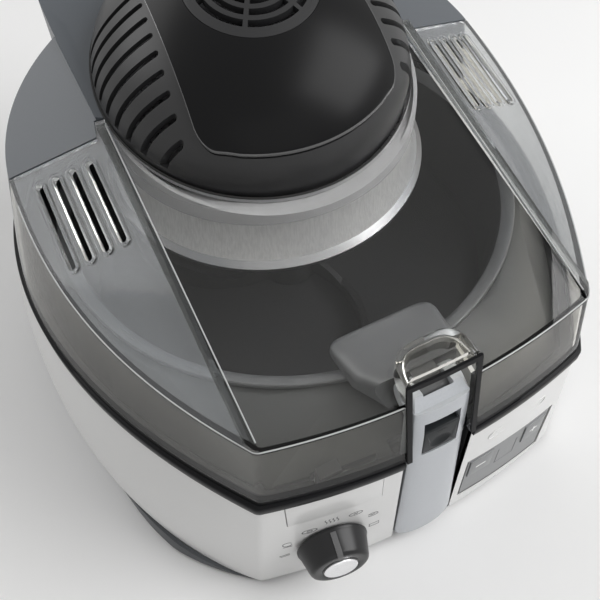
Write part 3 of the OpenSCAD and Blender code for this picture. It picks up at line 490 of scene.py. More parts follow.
def face_outwards(work):
    """Turns every face outwards."""
    bmesh.ops.recalc_face_normals(work, faces=work.faces)


def revolve(profile, centre=(0, 0), n=160, turn=None):
    """A closed solid of revolution: profile (m, 2) of radius and height, anticlockwise in
    the half plane, swept by x = r cos a, y = r sin a."""
    rings = np.array([at_height(circle(r, *centre, n), z) for r, z in profile])
    obj = tube_loft(moved(rings, turn))
    rework(obj.data, close_poles)
    return obj


def corners(xs, ys, zs):
    """The corners of a box as (8, 3)."""
    return np.array([[x, y, z] for x in xs for y in ys for z in zs], float)


def block(low, high, turn=None):
    """A box from its low to its high corner, turned by (matrix, shift) when given."""
    faces = [(0, 1, 3, 2), (4, 6, 7, 5), (0, 4, 5, 1), (2, 3, 7, 6), (0, 2, 6, 4), (1, 5, 7, 3)]
    return draft(moved(corners(*zip(low, high)), turn), faces)


def applied(obj):
    """Turns an object's modifiers into its mesh."""
    result = obj.evaluated_get(bpy.context.evaluated_depsgraph_get())
    made = bpy.data.meshes.new_from_object(result)
    obj.modifiers.clear()
    obj.data = made
    return obj


def carve(obj, *tools, way="DIFFERENCE"):
    """obj less (or with, or only inside) each tool in turn; the tools are used up."""
    for tool in tools:
        cut = obj.modifiers.new("cut", "BOOLEAN")
        cut.operation, cut.object, cut.solver = way, tool, "EXACT"
        applied(obj)
        bpy.data.objects.remove(tool)
    return obj


def common(obj, *others):
    """Only what obj shares with each of the others; these are used up."""
    return carve(obj, *others, way="INTERSECT")


def finished(obj, name, finish, body, *stands_for, sharp=32):
    """Names the piece, gives its finish, splits shading where faces meet at more than sharp
    degrees, sets it on its body and lets it stand for construction nodes."""
    obj.name = name
    obj.data.materials.clear()
    obj.data.materials.append(finishes[finish])
    obj.data.shade_smooth()
    obj.data.set_sharp_from_angle(angle=math.radians(sharp))
    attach(obj, body)
    if stands_for:
        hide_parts(*stands_for)
    print(name, len(obj.data.polygons), "faces")
    return obj

# %% [markdown]
# ## The white shell
# The shell is one thin moulding with an arched lower edge. Its skin is a grid of outline
# points by height, into which the handle's channel and the key pocket are carved.

# %% Body shell
lean = math.radians(4.45)
grip_w = 19.5
handle_turn = (about("x", -lean), np.array([0, -173.7, 152.7]))


def channel(extra):
    """The box that the folded handle lies in, larger by extra."""
    w = grip_w + 1.2 + extra
    return block((-w, -14, -166), (w, 10 + extra, 0), handle_turn)


arch_top, arch_y, arch_flat = 33, 40, 1400


def arch(y):
    """Height of the arched lower edge: arch_top - (y - arch_y)^2 / arch_flat above the foot."""
    return np.maximum(pan_z + 1.5, arch_top - (y - arch_y) ** 2 / arch_flat)


def front_patch(x0, x1, low, high, outside, behind):
    """A panel that follows the bowed front: low and high are its edge heights at x0 and x1,
    and outside and behind its distances from the face."""
    x = np.linspace(x0, x1, 33)
    f = (x - x0) / (x1 - x0)
    za, zb = low[0] + (low[1] - low[0]) * f, high[0] + (high[1] - high[0]) * f
    rings = np.stack([np.stack([x, face_y(x, z) + d, z], 1) for z, d in
                      ((za, -outside), (za, behind), (zb, behind), (zb, -outside))], 1)
    return loft(rings)


def wall_between(low, high, outer, thick, rows=34, count=80):
    """Outlines of a thin wall along the body between two edge heights, each a function of
    y: every column is sampled at heights low + (high - low) v. The outer face is moved in
    by outer(z), and the inner face by thick more."""
    skin = []
    for depth in (0.0, thick):
        levels = np.linspace(pan_z, shell_top, count)
        stack = np.array([body_ring(z, outer(z) + depth) for z in levels])
        y = body_ring(pan_z + 8, depth)[:, 1]
        heights = low(y)[None, :] + (high(y) - low(y))[None, :] * np.linspace(0, 1, rows)[:, None]
        level = (heights - pan_z) / (shell_top - pan_z) * (count - 1)
        under = np.clip(level.astype(int), 0, count - 2)
        f = (level - under)[..., None]
        column = np.arange(stack.shape[1])[None, :]
        skin.append(stack[under, column] * (1 - f) + stack[under + 1, column] * f)
    return np.concatenate([skin[0], skin[1][::-1]])


def level_edge(z):
    """A wall's edge at the same height z all round."""
    return lambda y: np.full_like(y, z)


shell = tube_loft(wall_between(arch, level_edge(shell_top), lambda z: 0.0, wall))
inner_channel = carve(channel(2.0), channel(0.0))
inside = loft([body_ring(z, 0.15) for z in np.linspace(pan_z + 1.5, shell_top, 12)])
common(inner_channel, inside)
# pockets for the key panel and the release button, and the cord's hole
carve(shell, channel(0.0), front_patch(25.4, 94.6, (15.4, 7.4), (66.6, 58.6), 4, 6),
      front_patch(-84.6, -31.4, (81.4, 81.4), (shell_top + 2, shell_top + 2), 4, 6),
      block((-6.4, 150, 29.6), (6.4, 230, 42.4)))
finished(shell, "shell_white", "white_gloss", "base", "body_shell")
# the channel's walls are black: painted shade in the recess beside the handle
finished(inner_channel, "handle_channel_shade", "black_matt", "base")

# %% Dark skirt
skirt_top, widest, front_y, fade_in = 26, 6.2, 172, 45


def foot_wall(flare):
    """Outlines of the skirt: from the foot up to the arched edge, and below skirt_top its
    face leans out by flare (1 - z / skirt_top)^1.2."""
    return wall_between(level_edge(pan_z + 0.2), lambda y: arch(y) - 0.3,
                        lambda z: 0.5 - flare * max(0.0, 1 - z / skirt_top) ** 1.2, 1.9, 14)


plain, flared = foot_wall(0.0), foot_wall(widest)
behind_front = np.clip((plain[..., 1:2] + front_y) / fade_in, 0, 1)
skirt = tube_loft(plain + (flared - plain) * behind_front)
carve(skirt, channel(0.0))
finished(skirt, "skirt_band", "dark_grey", "base")

# %% [markdown]
# ## The black band
# Between shell and lid runs a glossy band: a small upright oblong with rounded outer
# edges, carried round the outline.

# %% Black band
section = [(0.8, trim_low), (0.2, 108.8), (0.0, 109.5), (0.0, 115.0), (0.3, 115.7),
           (0.9, trim_high), (9, trim_high), (9, trim_low)]
band = tube_loft([trim_ring(z, o) for o, z in section])
# the second box is the slot for the lid's catch
carve(band, channel(0.0), block((-66, -169, 99), (-50, -161.5, 129)))
finished(band, "band_black", "black_gloss", "base", "rim_trim")

# %% [markdown]
# ## The lid
# The lid is one outline cut by three planes: a sloping window and a wing on each side. The
# clear front and the dark rear cover share that solid and meet at a seam.

# %% Lid solids
wing_z, wing_x, wing_y = roof_z + 38.1, -0.4306, 0.196
wing_t = math.atan(wing_y)
wing_s = math.atan(-wing_x * math.cos(wing_t))


def roof_turn(o=0.0):
    """The window plane's frame, lowered by o."""
    return about("x", tilt), np.array([0, 0, roof_z - o])


def wing_turn(side, o=0.0):
    """The frame of the wing plane on one side, lowered by o."""
    return about("x", wing_t) @ about("y", side * wing_s), np.array([0, 0, wing_z - o])


def lid_planes(o):
    """The space below the window and both wings, each lowered by o."""
    wings = [block((-400, -400, -320), (400, 400, 0), wing_turn(s, o)) for s in (1, -1)]
    return common(block((-300, -320, -260), (300, 320, 0), roof_turn(o)), *wings)


def lid_foot(o):
    """The lid's lower edge; a hollow, which has an inset o, starts 1 mm lower."""
    return lid_low - (1 if o else 0)


def lid_walls(o):
    """The lid's outline carried up its leaning walls, moved in by o."""
    return loft([lid_ring(z, o) for z in np.linspace(lid_foot(o), lid_low + 118, 40)])


def lid_solid(o):
    """The lid's outline below its three planes, moved in by o."""
    return common(lid_walls(o), lid_planes(o))


def ahead_of_seam(d):
    """The space in front of the seam between clear front and rear covers, d further back."""
    right_half = [(240, 59.5 + d), (96.2, 22.5 + d), (94, 31.8 + d), (87, 28.3 + d)]
    left_half = [(-x, y) for x, y in right_half[::-1]]
    return upright([(-240, -260), (240, -260)] + right_half + left_half, 0, 320)


hood_a, hood_b, hood_y, hood_foot, hood_side, hood_edge = 19.8, 24.0, -173.0, 140, 176.4, 2.8


def hump(o):
    """The hood over the handle: its plan is a rounded oblong |x / a|^4 + |y / b|^3.2 = 1,
    drawn in towards the top edge along a quarter circle."""
    a = around(96)
    plan = np.stack([hood_a * bent(np.cos(a), 0.5), hood_b * bent(np.sin(a), 0.62)], 1)
    steps = [(hood_side + hood_edge * math.sin(t), hood_edge * (1 - math.cos(t)))
             for t in np.linspace(0, 1.45, 6)]
    rings = []
    for z, inset in [(hood_foot, 0)] + steps:
        size = [1 - (o + inset) / hood_a, 1 - (o + inset) / hood_b]
        rings.append(at_height(plan * size + [0, hood_y], z - o))
    return loft(rings)


slots_on_wing, first_slot, slot_pitch = 4, 104.9, 9.4


def wing_slots(width, above, below):
    """The slots of both wings: lengthwise boxes with round ends, from above to below the
    wing's plane."""
    made = []
    for side, i in [(side, i) for side in (-1, 1) for i in range(slots_on_wing)]:
        across = first_slot + slot_pitch * i
        x, shift = side * across / math.cos(wing_s), across * math.tan(wing_s) * math.sin(wing_t)
        y0, y1 = ((y - shift) / math.cos(wing_t) for y in (-35.5 + 1.5 * i, 12 + 2.3 * i))
        half = width / 2 * ray(np.linspace(-math.pi, 0, 13))
        plan = np.concatenate([half + [x, y0], -half + [x, y1]])
        made.append(upright(plan, below, above, wing_turn(side)))
    return made


well_r = dome_r + 1.1


def dome_well():
    """The round hole that the blower dome and its seal stand in."""
    return upright(circle(well_r, 0, dome_mid, 160), 150, 320)

# %% [markdown]
# The clear front takes the solid ahead of the seam, adds the hood, the rails and the rims
# of the slots, and is hollowed to an even 3 mm, so it bends light as a moulding does.

# %% Clear front
rail_mid, rail_half = rail_x - 0.3, 2.4
rails = [block((x - rail_half, -166, -1), (x + rail_half, 26, 2), roof_turn())
         for x in (-rail_mid, rail_mid)]
planes = lid_planes(0.0)
carve(planes, hump(0.0), *rails, *wing_slots(8.2, 1.2, -1.2), way="UNION")
clear = common(lid_walls(0.0), planes, ahead_of_seam(0.0))
inner_planes = carve(lid_planes(lid_wall), hump(lid_wall), way="UNION")
hollow = common(lid_walls(lid_wall), inner_planes)
# the box is the notch for the handle
carve(clear, hollow, dome_well(), *wing_slots(4.2, 4, -6),
      block((-17.5, -200, 100), (17.5, -155, 173.6)))
finished(clear, "lid_clear", "smoke", "lid", "lid_window", sharp=25)

# %% [markdown]
# The rear cover is the same solid behind the seam, joined to a rounded block over the
# blower whose side view ends in a large arc.

# %% Rear cover
rear_face, arc_r, side_y = rear_y - 15, 52.0, 96


def rear_block(o):
    """The cover over the blower: a plan outline by a side outline, both moved in by o. The
    plan ends in an oblong arc |x / a|^3.3 + |y / b|^3.3 = 1."""
    x, ye = rail_x + 1.6 - o, rear_face - o
    a = np.linspace(0, math.pi, 61)[1:-1]
    end = np.stack([x * bent(np.cos(a), 0.6), side_y + (ye - side_y) * np.sin(a) ** 0.6], 1)
    plan = np.concatenate([[[x - 1.6, 20], [x, side_y]], end, [[-x, side_y], [-x + 1.6, 20]]])
    yc = rear_face - arc_r
    zc = roof_z + slope * (yc - arc_r * math.sin(tilt)) - arc_r * math.cos(tilt)
    t = (math.pi / 2 + tilt) * (1 - np.linspace(0, 1, 33))
    side_view = np.concatenate([[[20, lid_foot(o)], [20, roof_z + slope * 20 - o]],
                                [yc, zc] + (arc_r - o) * ray(t), [[rear_face - o, lid_foot(o)]]])
    return common(upright(plan, 0, 300), crosswise(side_view[::-1], -120, 120))


hinge_y, hinge_z, hinge_x, hinge_r = 186, 124.1, 28, 7.6
cover = carve(lid_solid(0.0), ahead_of_seam(1.0))
carve(cover, carve(rear_block(0.0), ahead_of_seam(1.0)), way="UNION")
carve(cover, lid_solid(lid_wall), rear_block(lid_wall), dome_well())
hinge_hole = circle(hinge_r, hinge_y, hinge_z, 48)
carve(cover, *[crosswise(hinge_hole, x - 16, x + 16) for x in (-hinge_x, hinge_x)])
finished(cover, "lid_rear_cover", "slate", "lid", "lid_rear_shell", sharp=30)

# %% [markdown]
# ## The blower dome
# The dome is half an ellipsoid on the window plane. Slanted louvres are cut through its
# flanks, a smooth glossy panel lies over its crown, and a round grille tops it.

# %% Dome
dome_turn = (about("x", tilt), np.array([0, dome_mid, roof_z + slope * dome_mid]))


def dome_shell(outer, inner, skirt=()):
    """A revolved shell between two half ellipses: radius r cos a, height h sin a. The skirt
    is more points for the foot of the section."""
    out, hollow = (size * ray(np.linspace(0, math.pi / 2, 49)[:-1]) for size in (outer, inner))
    poles = [(0.02, outer[1]), (0.02, inner[1])]
    profile = np.concatenate([out, poles, hollow[::-1], np.reshape(skirt, (-1, 2))])
    return revolve(profile, n=200, turn=dome_turn)


louvres_on_flank, louvre_half, louvre_pitch = 9, 1.7, 10.2


def louvre(side, i):
    """Slanted louvre i of a flank: a bar with a round inner end, turned by 12 - 2 i degrees."""
    end = louvre_half * ray(np.linspace(math.pi / 2, 3 * math.pi / 2, 13))
    plan = np.concatenate([end, [(40, -louvre_half), (40, louvre_half)]])
    if side < 0:
        plan = (plan * [-1, 1])[::-1]
    matrix = dome_turn[0] @ about("z", side * math.radians(12 - 2 * i))
    start = np.array([side * (63 - 1.35 * i), -16 + louvre_pitch * i - dome_mid, 1.2])
    return upright(plan, 4, 64, (matrix, dome_turn[0] @ start + dome_turn[1]))


grille_y, grille_r, crown_hole_r = 29, 33, 35.6
dome = dome_shell((dome_r, dome_h), (dome_r - 2.8, dome_h - 2.8),
                  [(dome_r - 2.8, -3), (dome_r, -3)])
carve(dome, *[louvre(side, i) for side in (-1, 1) for i in range(louvres_on_flank)],
      upright(circle(grille_r, 0, grille_y), roof_z + 20, roof_z + 100))
finished(dome, "dome_cover_skin", "dome_graphite", "lid", "dome_cover", sharp=30)

# %% Seal round the dome
seal_in, seal_out = dome_r + 0.15, dome_r + 1.0
seal = revolve([(seal_in, 160), (seal_out, 160), (seal_out, 240), (seal_in, 240)],
               (0, dome_mid), 200)
common(seal, block((-300, -320, -3.2), (300, 320, 0.7), roof_turn()))
finished(seal, "dome_seal", "rubber", "lid", sharp=30)

# %% Glossy crown panel
def crown_plan(grow=0.0):
    """Plan of the crown panel: the convex hull of two front corner arcs, a front arc about
    the dome's middle and two rear corner arcs, grown by grow. Each side of the hull touches
    its farthest point, and neighbouring sides are cut with each other."""
    r, rc, cx = dome_r - 4.8, 14.0, 41.0
    points = []
    for side in (-1, 1):
        points.append(circle(rc, side * cx, -math.sqrt((r - rc) ** 2 - cx * cx) + dome_mid))
        points.append(circle(rc, side * 33, 50 + dome_mid))
    front_arc = circle(r, 0, dome_mid, 240)
    points.append(front_arc[(np.abs(front_arc[:, 0]) < cx) & (front_arc[:, 1] < 0)])
    a = np.linspace(0, 2 * math.pi, 181)[:-1]
    middle = np.array([0.0, dome_mid])
    direction = ray(a)
    support = ((np.concatenate(points) - middle) @ direction.T).max(0) + grow
    step = a[1] - a[0]
    cross = (np.roll(support, -1) - support * math.cos(step)) / math.sin(step)
    along = np.stack([-np.sin(a), np.cos(a)], 1)
    return middle + direction * support[:, None] + along * cross[:, None]


panel = common(dome_shell((dome_r + 1.5, dome_h + 1.5), (dome_r + 0.12, dome_h + 0.12)),
               upright(crown_plan(), 150, 300))
carve(panel, upright(circle(crown_hole_r, 0, grille_y), 200, 300))
finished(panel, "dome_crown", "crown_black", "lid", "dome_insert", sharp=30)

# %% Painted highlight round the crown
# a thin grey ring just outside the crown panel paints the light caught on its edge
line = common(dome_shell((dome_r + 1.6, dome_h + 1.6), (dome_r + 1.1, dome_h + 1.1)),
              upright(crown_plan(0.34), 150, 300))
carve(line, upright(crown_plan(0.02), 140, 310))
finished(line, "crown_highlight_line", "crown_highlight_grey", "lid", sharp=30)

# %% [markdown]
# ## Smooth copies
# The construction model arrives as loose triangles, shaded flat. A copy whose corners are
# merged can be shaded smoothly, and its rounded edges catch the light.

# %% Smooth copies of round pieces
def rounded(obj, edge, angle=35):
    """Rounds by edge mm the edges where faces meet at more than the angle in degrees."""
    soft = obj.modifiers.new("edge", "BEVEL")
    soft.width, soft.segments, soft.limit_method = edge * 0.001, 3, "ANGLE"
    soft.angle_limit = math.radians(angle)
    return applied(obj)


def merge(work):
    """Joins doubled corners, and flat neighbours into one face."""
    bmesh.ops.remove_doubles(work, verts=work.verts, dist=1e-6)
    bmesh.ops.dissolve_limit(work, angle_limit=math.radians(0.5), verts=work.verts,
                             edges=work.edges)


def smooth_copy(node, body, finish, edge):
    """A merged, smoothly shaded copy of a construction node, its edges rounded by edge mm."""
    name = node + "_skin"
    obj = linked(name, rework(bpy.data.meshes.new(name), merge, nodes[node].data))
    if edge != "0":
        rounded(obj, float(edge))
    finished(obj, name, finish, body, node, sharp=30)


for row in """\
bowl base non_stick 0
bowl_rim base rim_grey 0.5
drum_lip lid lip_steel 0
drum_collar lid light_grey 0
top_deck base deck_grey 0.6
minus_button minus_key panel_grey 0.35
plus_button plus_key panel_grey 0.35
release_button release white_gloss 0.3
knob_cap selector cap_silver 0.25""".splitlines():
    smooth_copy(*row.split())

# %% [markdown]
# ## The drum
# A steel drum hangs under the window and flares towards its lip, below a plain grey
# shoulder. The dome stands 8 mm further back than the drum, so the shoulder ends in a brim
# between two circles with different middles.

# %% Drum bands
drum_r, drum_mid, drum_foot, drum_top = 88.4, 27.0, 147.7, 174.6
shoulder_foot, shoulder_top = 174.9, 185.1
flare_z = np.linspace(drum_foot, drum_top, 28)
flare = np.column_stack([drum_r + 4.7 * ((drum_top - flare_z) / 28.4) ** 2, flare_z])
drum = revolve(np.concatenate([flare, flare[::-1] - [1.2, 0]]), (0, drum_mid), 192)
finished(drum, "drum_band", "brushed", "lid", "drum", sharp=40)


def shoulder_ring(r, middle, drop):
    """A circle of radius r about (0, middle), at the shoulder's foot, or drop below its top,
    which lies just under the sloping window and never above shoulder_top."""
    plan = circle(r, 0, middle, 192)
    window = roof_z + slope * plan[:, 1] - (lid_wall + 0.4) * math.hypot(1, slope)
    height = np.minimum(shoulder_top, window)
    return np.column_stack([plan, np.full(192, shoulder_foot) if drop is None else height - drop])


outside, inside, brim = (drum_r + 0.2, drum_mid), (drum_r - 0.8, drum_mid), (84.2, 31.0)
steps = ((outside, None), (outside, 0), (brim, 0), (brim, 1), (inside, 1), (inside, None))
collar = tube_loft([shoulder_ring(*place, drop) for place, drop in steps])
finished(collar, "drum_shoulder", "light_grey", "lid", sharp=30)

# %% [markdown]
# ## The handle's mount
# Between bowl rim and handle sits a soft-edged block. Its section across is a rounded
# arch, whose width and height a table gives along the way.

# %% Mount
pivot, mount_low = (-163.0, 148.0), 136.6


def round_bar(r, reach):
    """A cylinder of radius r along X about the handle's pivot, reach mm to each side."""
    return crosswise(circle(r, *pivot, 64), -reach, reach)


def mount_section(y, half, top):
    """Section at y: x = half cos t to the 0.35th power, z from mount_low to top by sin t to
    the 0.35th power, so the top edges are rounded and the flanks almost upright."""
    t = np.linspace(0, math.pi, 33)
    height = mount_low + (top - mount_low) * np.abs(np.sin(t)) ** 0.35
    return np.column_stack([half * bent(np.cos(t), 0.35), np.full(33, y), height])


# each row: distance y, half width and top
form = np.array([(-160, 19.0, 157.5), (-150, 24.5, 153.0), (-140, 30.0, 148.5),
                 (-120, 31.5, 143.2), (-117, 30.8, 142.3), (-114.8, 29.2, 141.3),
                 (-113.4, 27.2, 140.2), (-112.7, 25.4, 139.2), (-112.4, 23.5, 138.4)]).T
stations = [-112.4, -112.7, -113.4, -114.8, -117, -120, -126, -132, -140, -146, -150, -155, -160]
mount = loft([mount_section(y, *(np.interp(y, form[0], row) for row in form[1:]))
              for y in stations])
tongue = block((-8, -163, 143), (8, -149, 153))
carve(mount, round_bar(12.2, 34))
carve(mount, carve(tongue, round_bar(6.5, 8), way="UNION"), way="UNION")
carve(mount, round_bar(3.0, 9))
finished(mount, "mount_block", "mount_grey", "base", "handle_mount", sharp=34)

# %% [markdown]
# ## The folding handle
# The grip is a slightly bowed bar, wider towards its foot, with a window near the top for
# the sliding catch.

# %% Handle grip
depths = np.array([0, 2, 8, 20, 40, 55, 80, 110, 137, 139, 141, 142.6, 143.9, 144.9, 145.6, 146.0])
widths = grip_w * np.interp(depths, [0, 8, 55, 137, 139, 141, 142.6, 143.9, 144.9, 145.6, 146],
                            [0.8, 0.83, 0.88, 1, 0.997, 0.985, 0.965, 0.935, 0.9, 0.85, 0.8])
backs = np.interp(depths, [0, 8, 55, 137, 143, 146], [8, 9, 8, 8, 6.5, 5])


def handle_section(d, w, back):
    """The grip's section at depth d: x = w cos t bent to the 0.8th power, y = 0.8 -
    (f + 0.8) sin t, where the bulge f grows with depth from 1.6 to 3.4; the back is flat."""
    f = 1.6 + 1.8 * min(1, d / 20)
    t = np.linspace(0, math.pi, 41)
    x = -w * bent(np.cos(t), 0.8)
    y = 0.8 - (f + 0.8) * np.sin(t)
    return np.column_stack([np.r_[-w, x[1:-1], w], np.r_[back, y[1:-1], back], np.full(41, -d)])


def read(items, field):
    """A field of vectors of mesh points or faces, as (n, 3)."""
    values = np.empty(len(items) * 3)
    items.foreach_get(field, values)
    return values.reshape(-1, 3)


def placed(obj, turn):
    """Moves the mesh itself by a matrix and a shift in millimetres."""
    co = moved(read(obj.data.vertices, "co"), (turn[0], np.asarray(turn[1]) * 0.001))
    obj.data.vertices.foreach_set("co", co.ravel())
    obj.data.update()
    return obj


def hull_of(points):
    """The convex hull of points in millimetres as a solid."""
    def wrap(work):
        made = bmesh.ops.convex_hull(work, input=work.verts)
        spare = list({*made["geom_interior"], *made["geom_unused"]})
        bmesh.ops.delete(work, geom=spare, context="VERTS")
        face_outwards(work)

    obj = draft(points, [])
    rework(obj.data, wrap)
    return obj


hub_half, fork_half = 15.2, 8.4
hub = circle(9, *pivot, 48)
head = [np.column_stack([np.full(48, x), hub]) for x in (-hub_half, hub_half)]
head += [moved(corners((-hub_half, hub_half), (0.6, 6.6), (-14, 0)), handle_turn),
         corners((-12.9, 12.9), (-168, -167), (157.4, 158.4))]
grip = loft([handle_section(*row) for row in zip(depths[::-1], widths[::-1], backs[::-1])])
carve(placed(grip, handle_turn), hull_of(np.concatenate(head)), way="UNION")
carve(grip, block((-fork_half, -168.8, 141.2), (fork_half, -120, 185)),
      round_bar(7.2, fork_half),
      block((-fork_half, -168.8, 100), (fork_half, -135, 144)),
      round_bar(3.2, 18),
      block((-10.4, -10, -40.6), (10.4, 2.4, -10.4), handle_turn))
finished(grip, "grip_bar", "silver", "handle", "handle_grip", sharp=40)

# %% Sliding catch
t = np.linspace(-math.pi / 2, math.pi / 2, 33)
half_circle = np.stack([np.maximum(np.cos(t), 1e-4), np.sin(t)], 1)
thumb = revolve(half_circle, n=64, turn=(np.diag([7.6, 4.4, 6.4]), (0, -5.3, -32.4)))
slider = rounded(block((-10, -2.9, -40.2), (10, 2.2, -18.7)), 0.8, 30)
placed(carve(slider, thumb), handle_turn)
finished(slider, "slide_catch", "catch_black", "slider", "handle_slider", sharp=40)
# a thin black plate on the catch: painted shade of its dash recess
dash = block((-2.6, -3.05, -22.9), (2.6, -2.6, -22.2), handle_turn)
finished(dash, "slide_dash_shade", "black_matt", "slider")

# %% [markdown]
# ## The selector knob
# A revolved profile with a fine step at its foot and a recess for the silver cap, and a
# grey rib that runs down its flank as the pointer.

# %% Knob
knob_turn = (about("z", math.radians(-8.7)) @ about("x", math.radians(84)),
             np.array([-61.3, -179.1, 43.5]))
profile = [(3.05, 1.4), (20.6, 1.4), (21.0, 1.8), (21.0, 2.9), (20.7, 3.5), (20.2, 4.2),
           (17.7, 14.4), (17.3, 15.5), (16.6, 16.4), (15.7, 16.9), (15.2, 17.0), (11.6, 17.0),
           (11.2, 16.8), (10.9, 16.4), (3.05, 16.4)]
knob = revolve(profile, n=128, turn=knob_turn)
finished(knob, "knob_body", "knob_black", "selector", "knob", sharp=35)
rib = np.array([[20.0, 4.4], [20.75, 4.4], [18.15, 14.6], [17.55, 15.9], [16.6, 16.9],
                [15.4, 17.35], [11.6, 17.35], [11.6, 16.9], [15.0, 16.6], [16.6, 15.4]])
pointer = placed(crosswise(rib, -1.6, 1.6), knob_turn)
finished(pointer, "knob_rib", "rib_grey", "selector", "knob_pointer", sharp=30)

# %% [markdown]
# ## Printed marks
# Small grey marks ring the knob, and the keys carry a minus and a plus. Each mark is a
# stroke: a flat band of fixed width along a line on the bowed front.

# %% Strokes on the front face
def tangents(path, closed):
    """Unit tangents of a path (n, k): from each point's neighbour behind to the one ahead."""
    t = (np.roll(path, -1, 0) - np.roll(path, 1, 0)) if closed else np.gradient(path, axis=0)
    return t / np.linalg.norm(t, axis=1)[:, None]


def stroke(path, width, closed=False, proud=0.1, deep=0.4, shift=0.0):
    """A band along path (n, 2) in x and z: at each point the four corners lie half a width
    to each side of the line, proud of and deep behind a face that lies shift mm behind the
    body's. Returns points and faces."""
    p = np.asarray(path, float)
    t = tangents(p, closed)
    side = np.stack([-t[:, 1], t[:, 0]], 1) * width / 2
    rings = np.stack([np.column_stack([q[:, 0], face_y(q[:, 0], q[:, 1]) + shift + d, q[:, 1]])
                      for q, d in ((p + side, -proud), (p + side, deep),
                                   (p - side, deep), (p - side, -proud))], 1)
    n = len(p)
    if closed:
        return rings.reshape(-1, 3), (grid_quads(n + 1, 4) % (n * 4)).tolist()
    ends = [[3, 2, 1, 0], [n * 4 - 4, n * 4 - 3, n * 4 - 2, n * 4 - 1]]
    return rings.reshape(-1, 3), grid_quads(n, 4).tolist() + ends


def printed(name, strokes, finish, body):
    """Joins strokes into one piece with its faces turned outwards."""
    faces, start = [], 0
    for p, f in strokes:
        faces += [[i + start for i in q] for q in f]
        start += len(p)
    obj = draft(np.concatenate([p for p, _ in strokes]), faces)
    rework(obj.data, face_outwards)
    return finished(obj, name, finish, body, sharp=30)


def arc(x, z, rx, rz, start=0, stop=360, n=28):
    """Points on an ellipse about (x, z) between two angles in degrees."""
    a = np.radians(np.linspace(start, stop, n, endpoint=abs(stop - start) < 360))
    return [x, z] + ray(a) * [rx, rz]


def wave(x, z, length, height, n=24):
    """A rising wavy line: x sways with a sine while z climbs."""
    s = np.linspace(0, 1, n)
    return np.stack([x + height * np.sin(2 * math.pi * s), z + length * s], 1)


marks = [stroke(*row) for row in (
    (arc(-73, 66, 4.2, 2.3), 0.55, True), (arc(-73, 66, 1.5, 1.0), 0.5, True),
    (arc(-86, 54.6, 2.6, 2.6, 20, 340), 0.5), ([(-88.6, 51.0), (-83.4, 51.0)], 0.5),
    ([(-91.5, 38.5), (-85.5, 39.5)], 0.55), ([(-91.0, 36.8), (-85.5, 37.8)], 0.45),
    (arc(-46.5, 70, 3.9, 2.1), 0.45, True), ([(-47.8, 69.9), (-45.2, 70.1)], 0.9),
    (arc(-36, 58.6, 3.2, 2.0, -150, 150), 0.45), ([(-37.4, 58.4), (-34.8, 58.8)], 0.8),
    ([(-37.6, 44), (-31.6, 44), (-31.6, 40.4), (-37.6, 40.4)][::-1], 0.45),
    ([(-37.6, 40.4), (-37.6, 44)], 0.45))]
marks += [stroke(wave(-63.6 + 2.2 * i, 69.2, 5.2, 0.55), 0.45) for i in range(4)]
printed("dial_marks", marks, "print_grey", "base")

# %% Keys, panel lines and blank badge
key_y, panel_y = -0.4, 0.4
minus = stroke([(33.8, 50.7), (41.2, 50.0)], 1.15, shift=key_y)
plus = [stroke([(78.3, 44.6), (84.7, 44.0)], 1.15, shift=key_y),
        stroke([(81.5, 41.4), (81.5, 47.2)], 1.15, shift=key_y, proud=0.13)]
printed("minus_mark", [minus], "print_white", "minus_key")
printed("plus_mark", plus, "print_white", "plus_key")
border = np.array([(26.6, 17.3), (93.3, 9.4), (93.3, 57.6), (26.6, 65.3)])
edge = np.concatenate([p + (q - p) * np.linspace(0, 1, 20, endpoint=False)[:, None]
                       for p, q in zip(border, np.roll(border, -1, 0))])
printed("panel_border", [stroke(edge, 0.8, True, shift=panel_y)], "black_matt", "base")
window_line = stroke([(52, 51), (52, 33), (67, 31.2), (67, 49.2)], 0.5, shift=panel_y)
printed("panel_line", [window_line], "print_grey", "base")
capsule = np.concatenate([arc(75.5, 85.0, 4.2, 3.9, -90, 90, 20),
                          arc(40.5, 86.4, 4.2, 3.9, 90, 270, 20)])
printed("badge_rim", [stroke(capsule, 0.7, True, proud=0.35)], "white_gloss", "base")

# %% [markdown]
# ## The clearest part of the lid
# The window between the two rails is nearly colourless, while walls and wings are smoky.
# The place and the direction of each face say which finish it gets.

# %% Window faces
window, wing, rail_shade, foot, well = range(1, 6)
lid_mesh = bpy.data.objects["lid_clear"].data
for finish in ("clear", "haze", "rail_shade", "black_gloss", "light_grey"):
    lid_mesh.materials.append(finishes[finish])
normal, centre = read(lid_mesh.polygons, "normal"), read(lid_mesh.polygons, "center") * 1000
parallel = 0.9995
flat = np.abs(normal @ np.array([0, -math.sin(tilt), math.cos(tilt)])) > parallel
x, height = np.abs(centre[:, 0]), centre[:, 2] - roof_z - slope * centre[:, 1]
index = (flat & (x < rail_x)).astype(np.int32)
for side in (-1, 1):
    index[np.abs(normal @ wing_turn(side)[0][:, 2]) > parallel] = wing
# faces on the rails get the dark tint: painted shade
index[(np.abs(x - rail_mid) < 2.7) & (height > 0.1) & (index < wing)] = rail_shade
index[centre[:, 2] < lid_low + 3.6] = foot
from_well = np.hypot(centre[:, 0], centre[:, 1] - dome_mid) - well_r
index[(np.abs(from_well) < 0.4) & (np.abs(normal[:, 2]) < 0.5)] = well
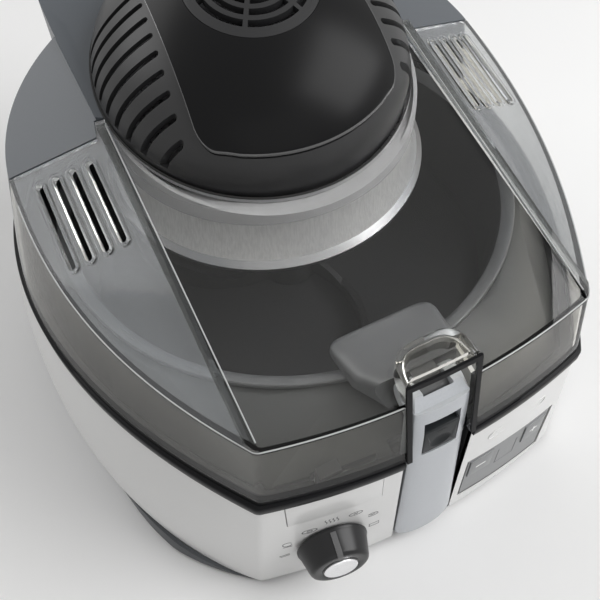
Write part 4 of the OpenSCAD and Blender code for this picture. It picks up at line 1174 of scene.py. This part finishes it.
lid_mesh.polygons.foreach_set("material_index", index)
lid_mesh.polygons.foreach_set("use_smooth", ((index == 0) & ~flat) | (index == well))
lid_mesh.update()
print("window faces:", int((index == window).sum()), "wing faces:", int((index == wing).sum()))

# %% [markdown]
# ## Bright edges
# Each small rounded edge of a moulded lid catches the lamps as a thin bright line. Here a
# slim pale bead paints that highlight, and a black bead just below it paints the dark line
# of shade beside it. Their path is where the leaning wall meets the planes above it, found
# column by column.

# %% Edge beads
def bead(name, path, r, finish="edge_highlight_gloss"):
    """A round bead of radius r along path (m, 3) on the lid: each ring is r (cos a side +
    sin a over), with side level and across the path."""
    p = np.asarray(path, float)
    t = tangents(p, False)
    side = np.cross(t, [0, 0, 1.0])
    side /= np.linalg.norm(side, axis=1)[:, None]
    over = np.cross(side, t)
    a = around(8)[None, :, None]
    rings = p[:, None] + r * (np.cos(a) * side[:, None] + np.sin(a) * over[:, None])
    finished(loft(rings), name, finish, "lid", sharp=60)


def roof_at(x, y):
    """Height of the lid's top at x, y: the lowest of the window and the two wing planes."""
    return np.minimum(roof_z + slope * y, wing_z + wing_x * np.abs(x) + wing_y * y)


columns = np.array([lid_ring(z) for z in np.linspace(lid_low, lid_low + 110, 221)])
above = columns[..., 2] - roof_at(columns[..., 0], columns[..., 1])
first = np.argmax(above > 0, axis=0)
pick = np.arange(columns.shape[1])
lower, upper = above[first - 1, pick], above[first, pick]
share = (-lower / (upper - lower))[:, None]
path = columns[first - 1, pick] * (1 - share) + columns[first, pick] * share
path = path[path[:, 1] < 22]
path = path[np.argsort(np.arctan2(path[:, 0], -path[:, 1]))]
beside_hood, hands = 20.4, ((-1, "left"), (1, "right"))
for side, hand in hands:
    part = path[side * path[:, 0] > beside_hood]
    # the pale bead paints the highlight on the edge
    bead("edge_" + hand, part + [0, 0, -0.25], 0.42)
    # black bead 1.1 mm lower: painted shade line beside the highlight
    bead("shade_line_" + hand, part + [0, 0, -1.35], 0.45, "black_gloss")
y = np.linspace(-158, 24, 60)
# pale beads along the rails: painted highlight
for side, hand in hands:
    x = np.full_like(y, side * (rail_x - 2.7))
    bead("rail_line_" + hand, np.column_stack([x, y, roof_z + slope * y + 1.95]), 0.4)
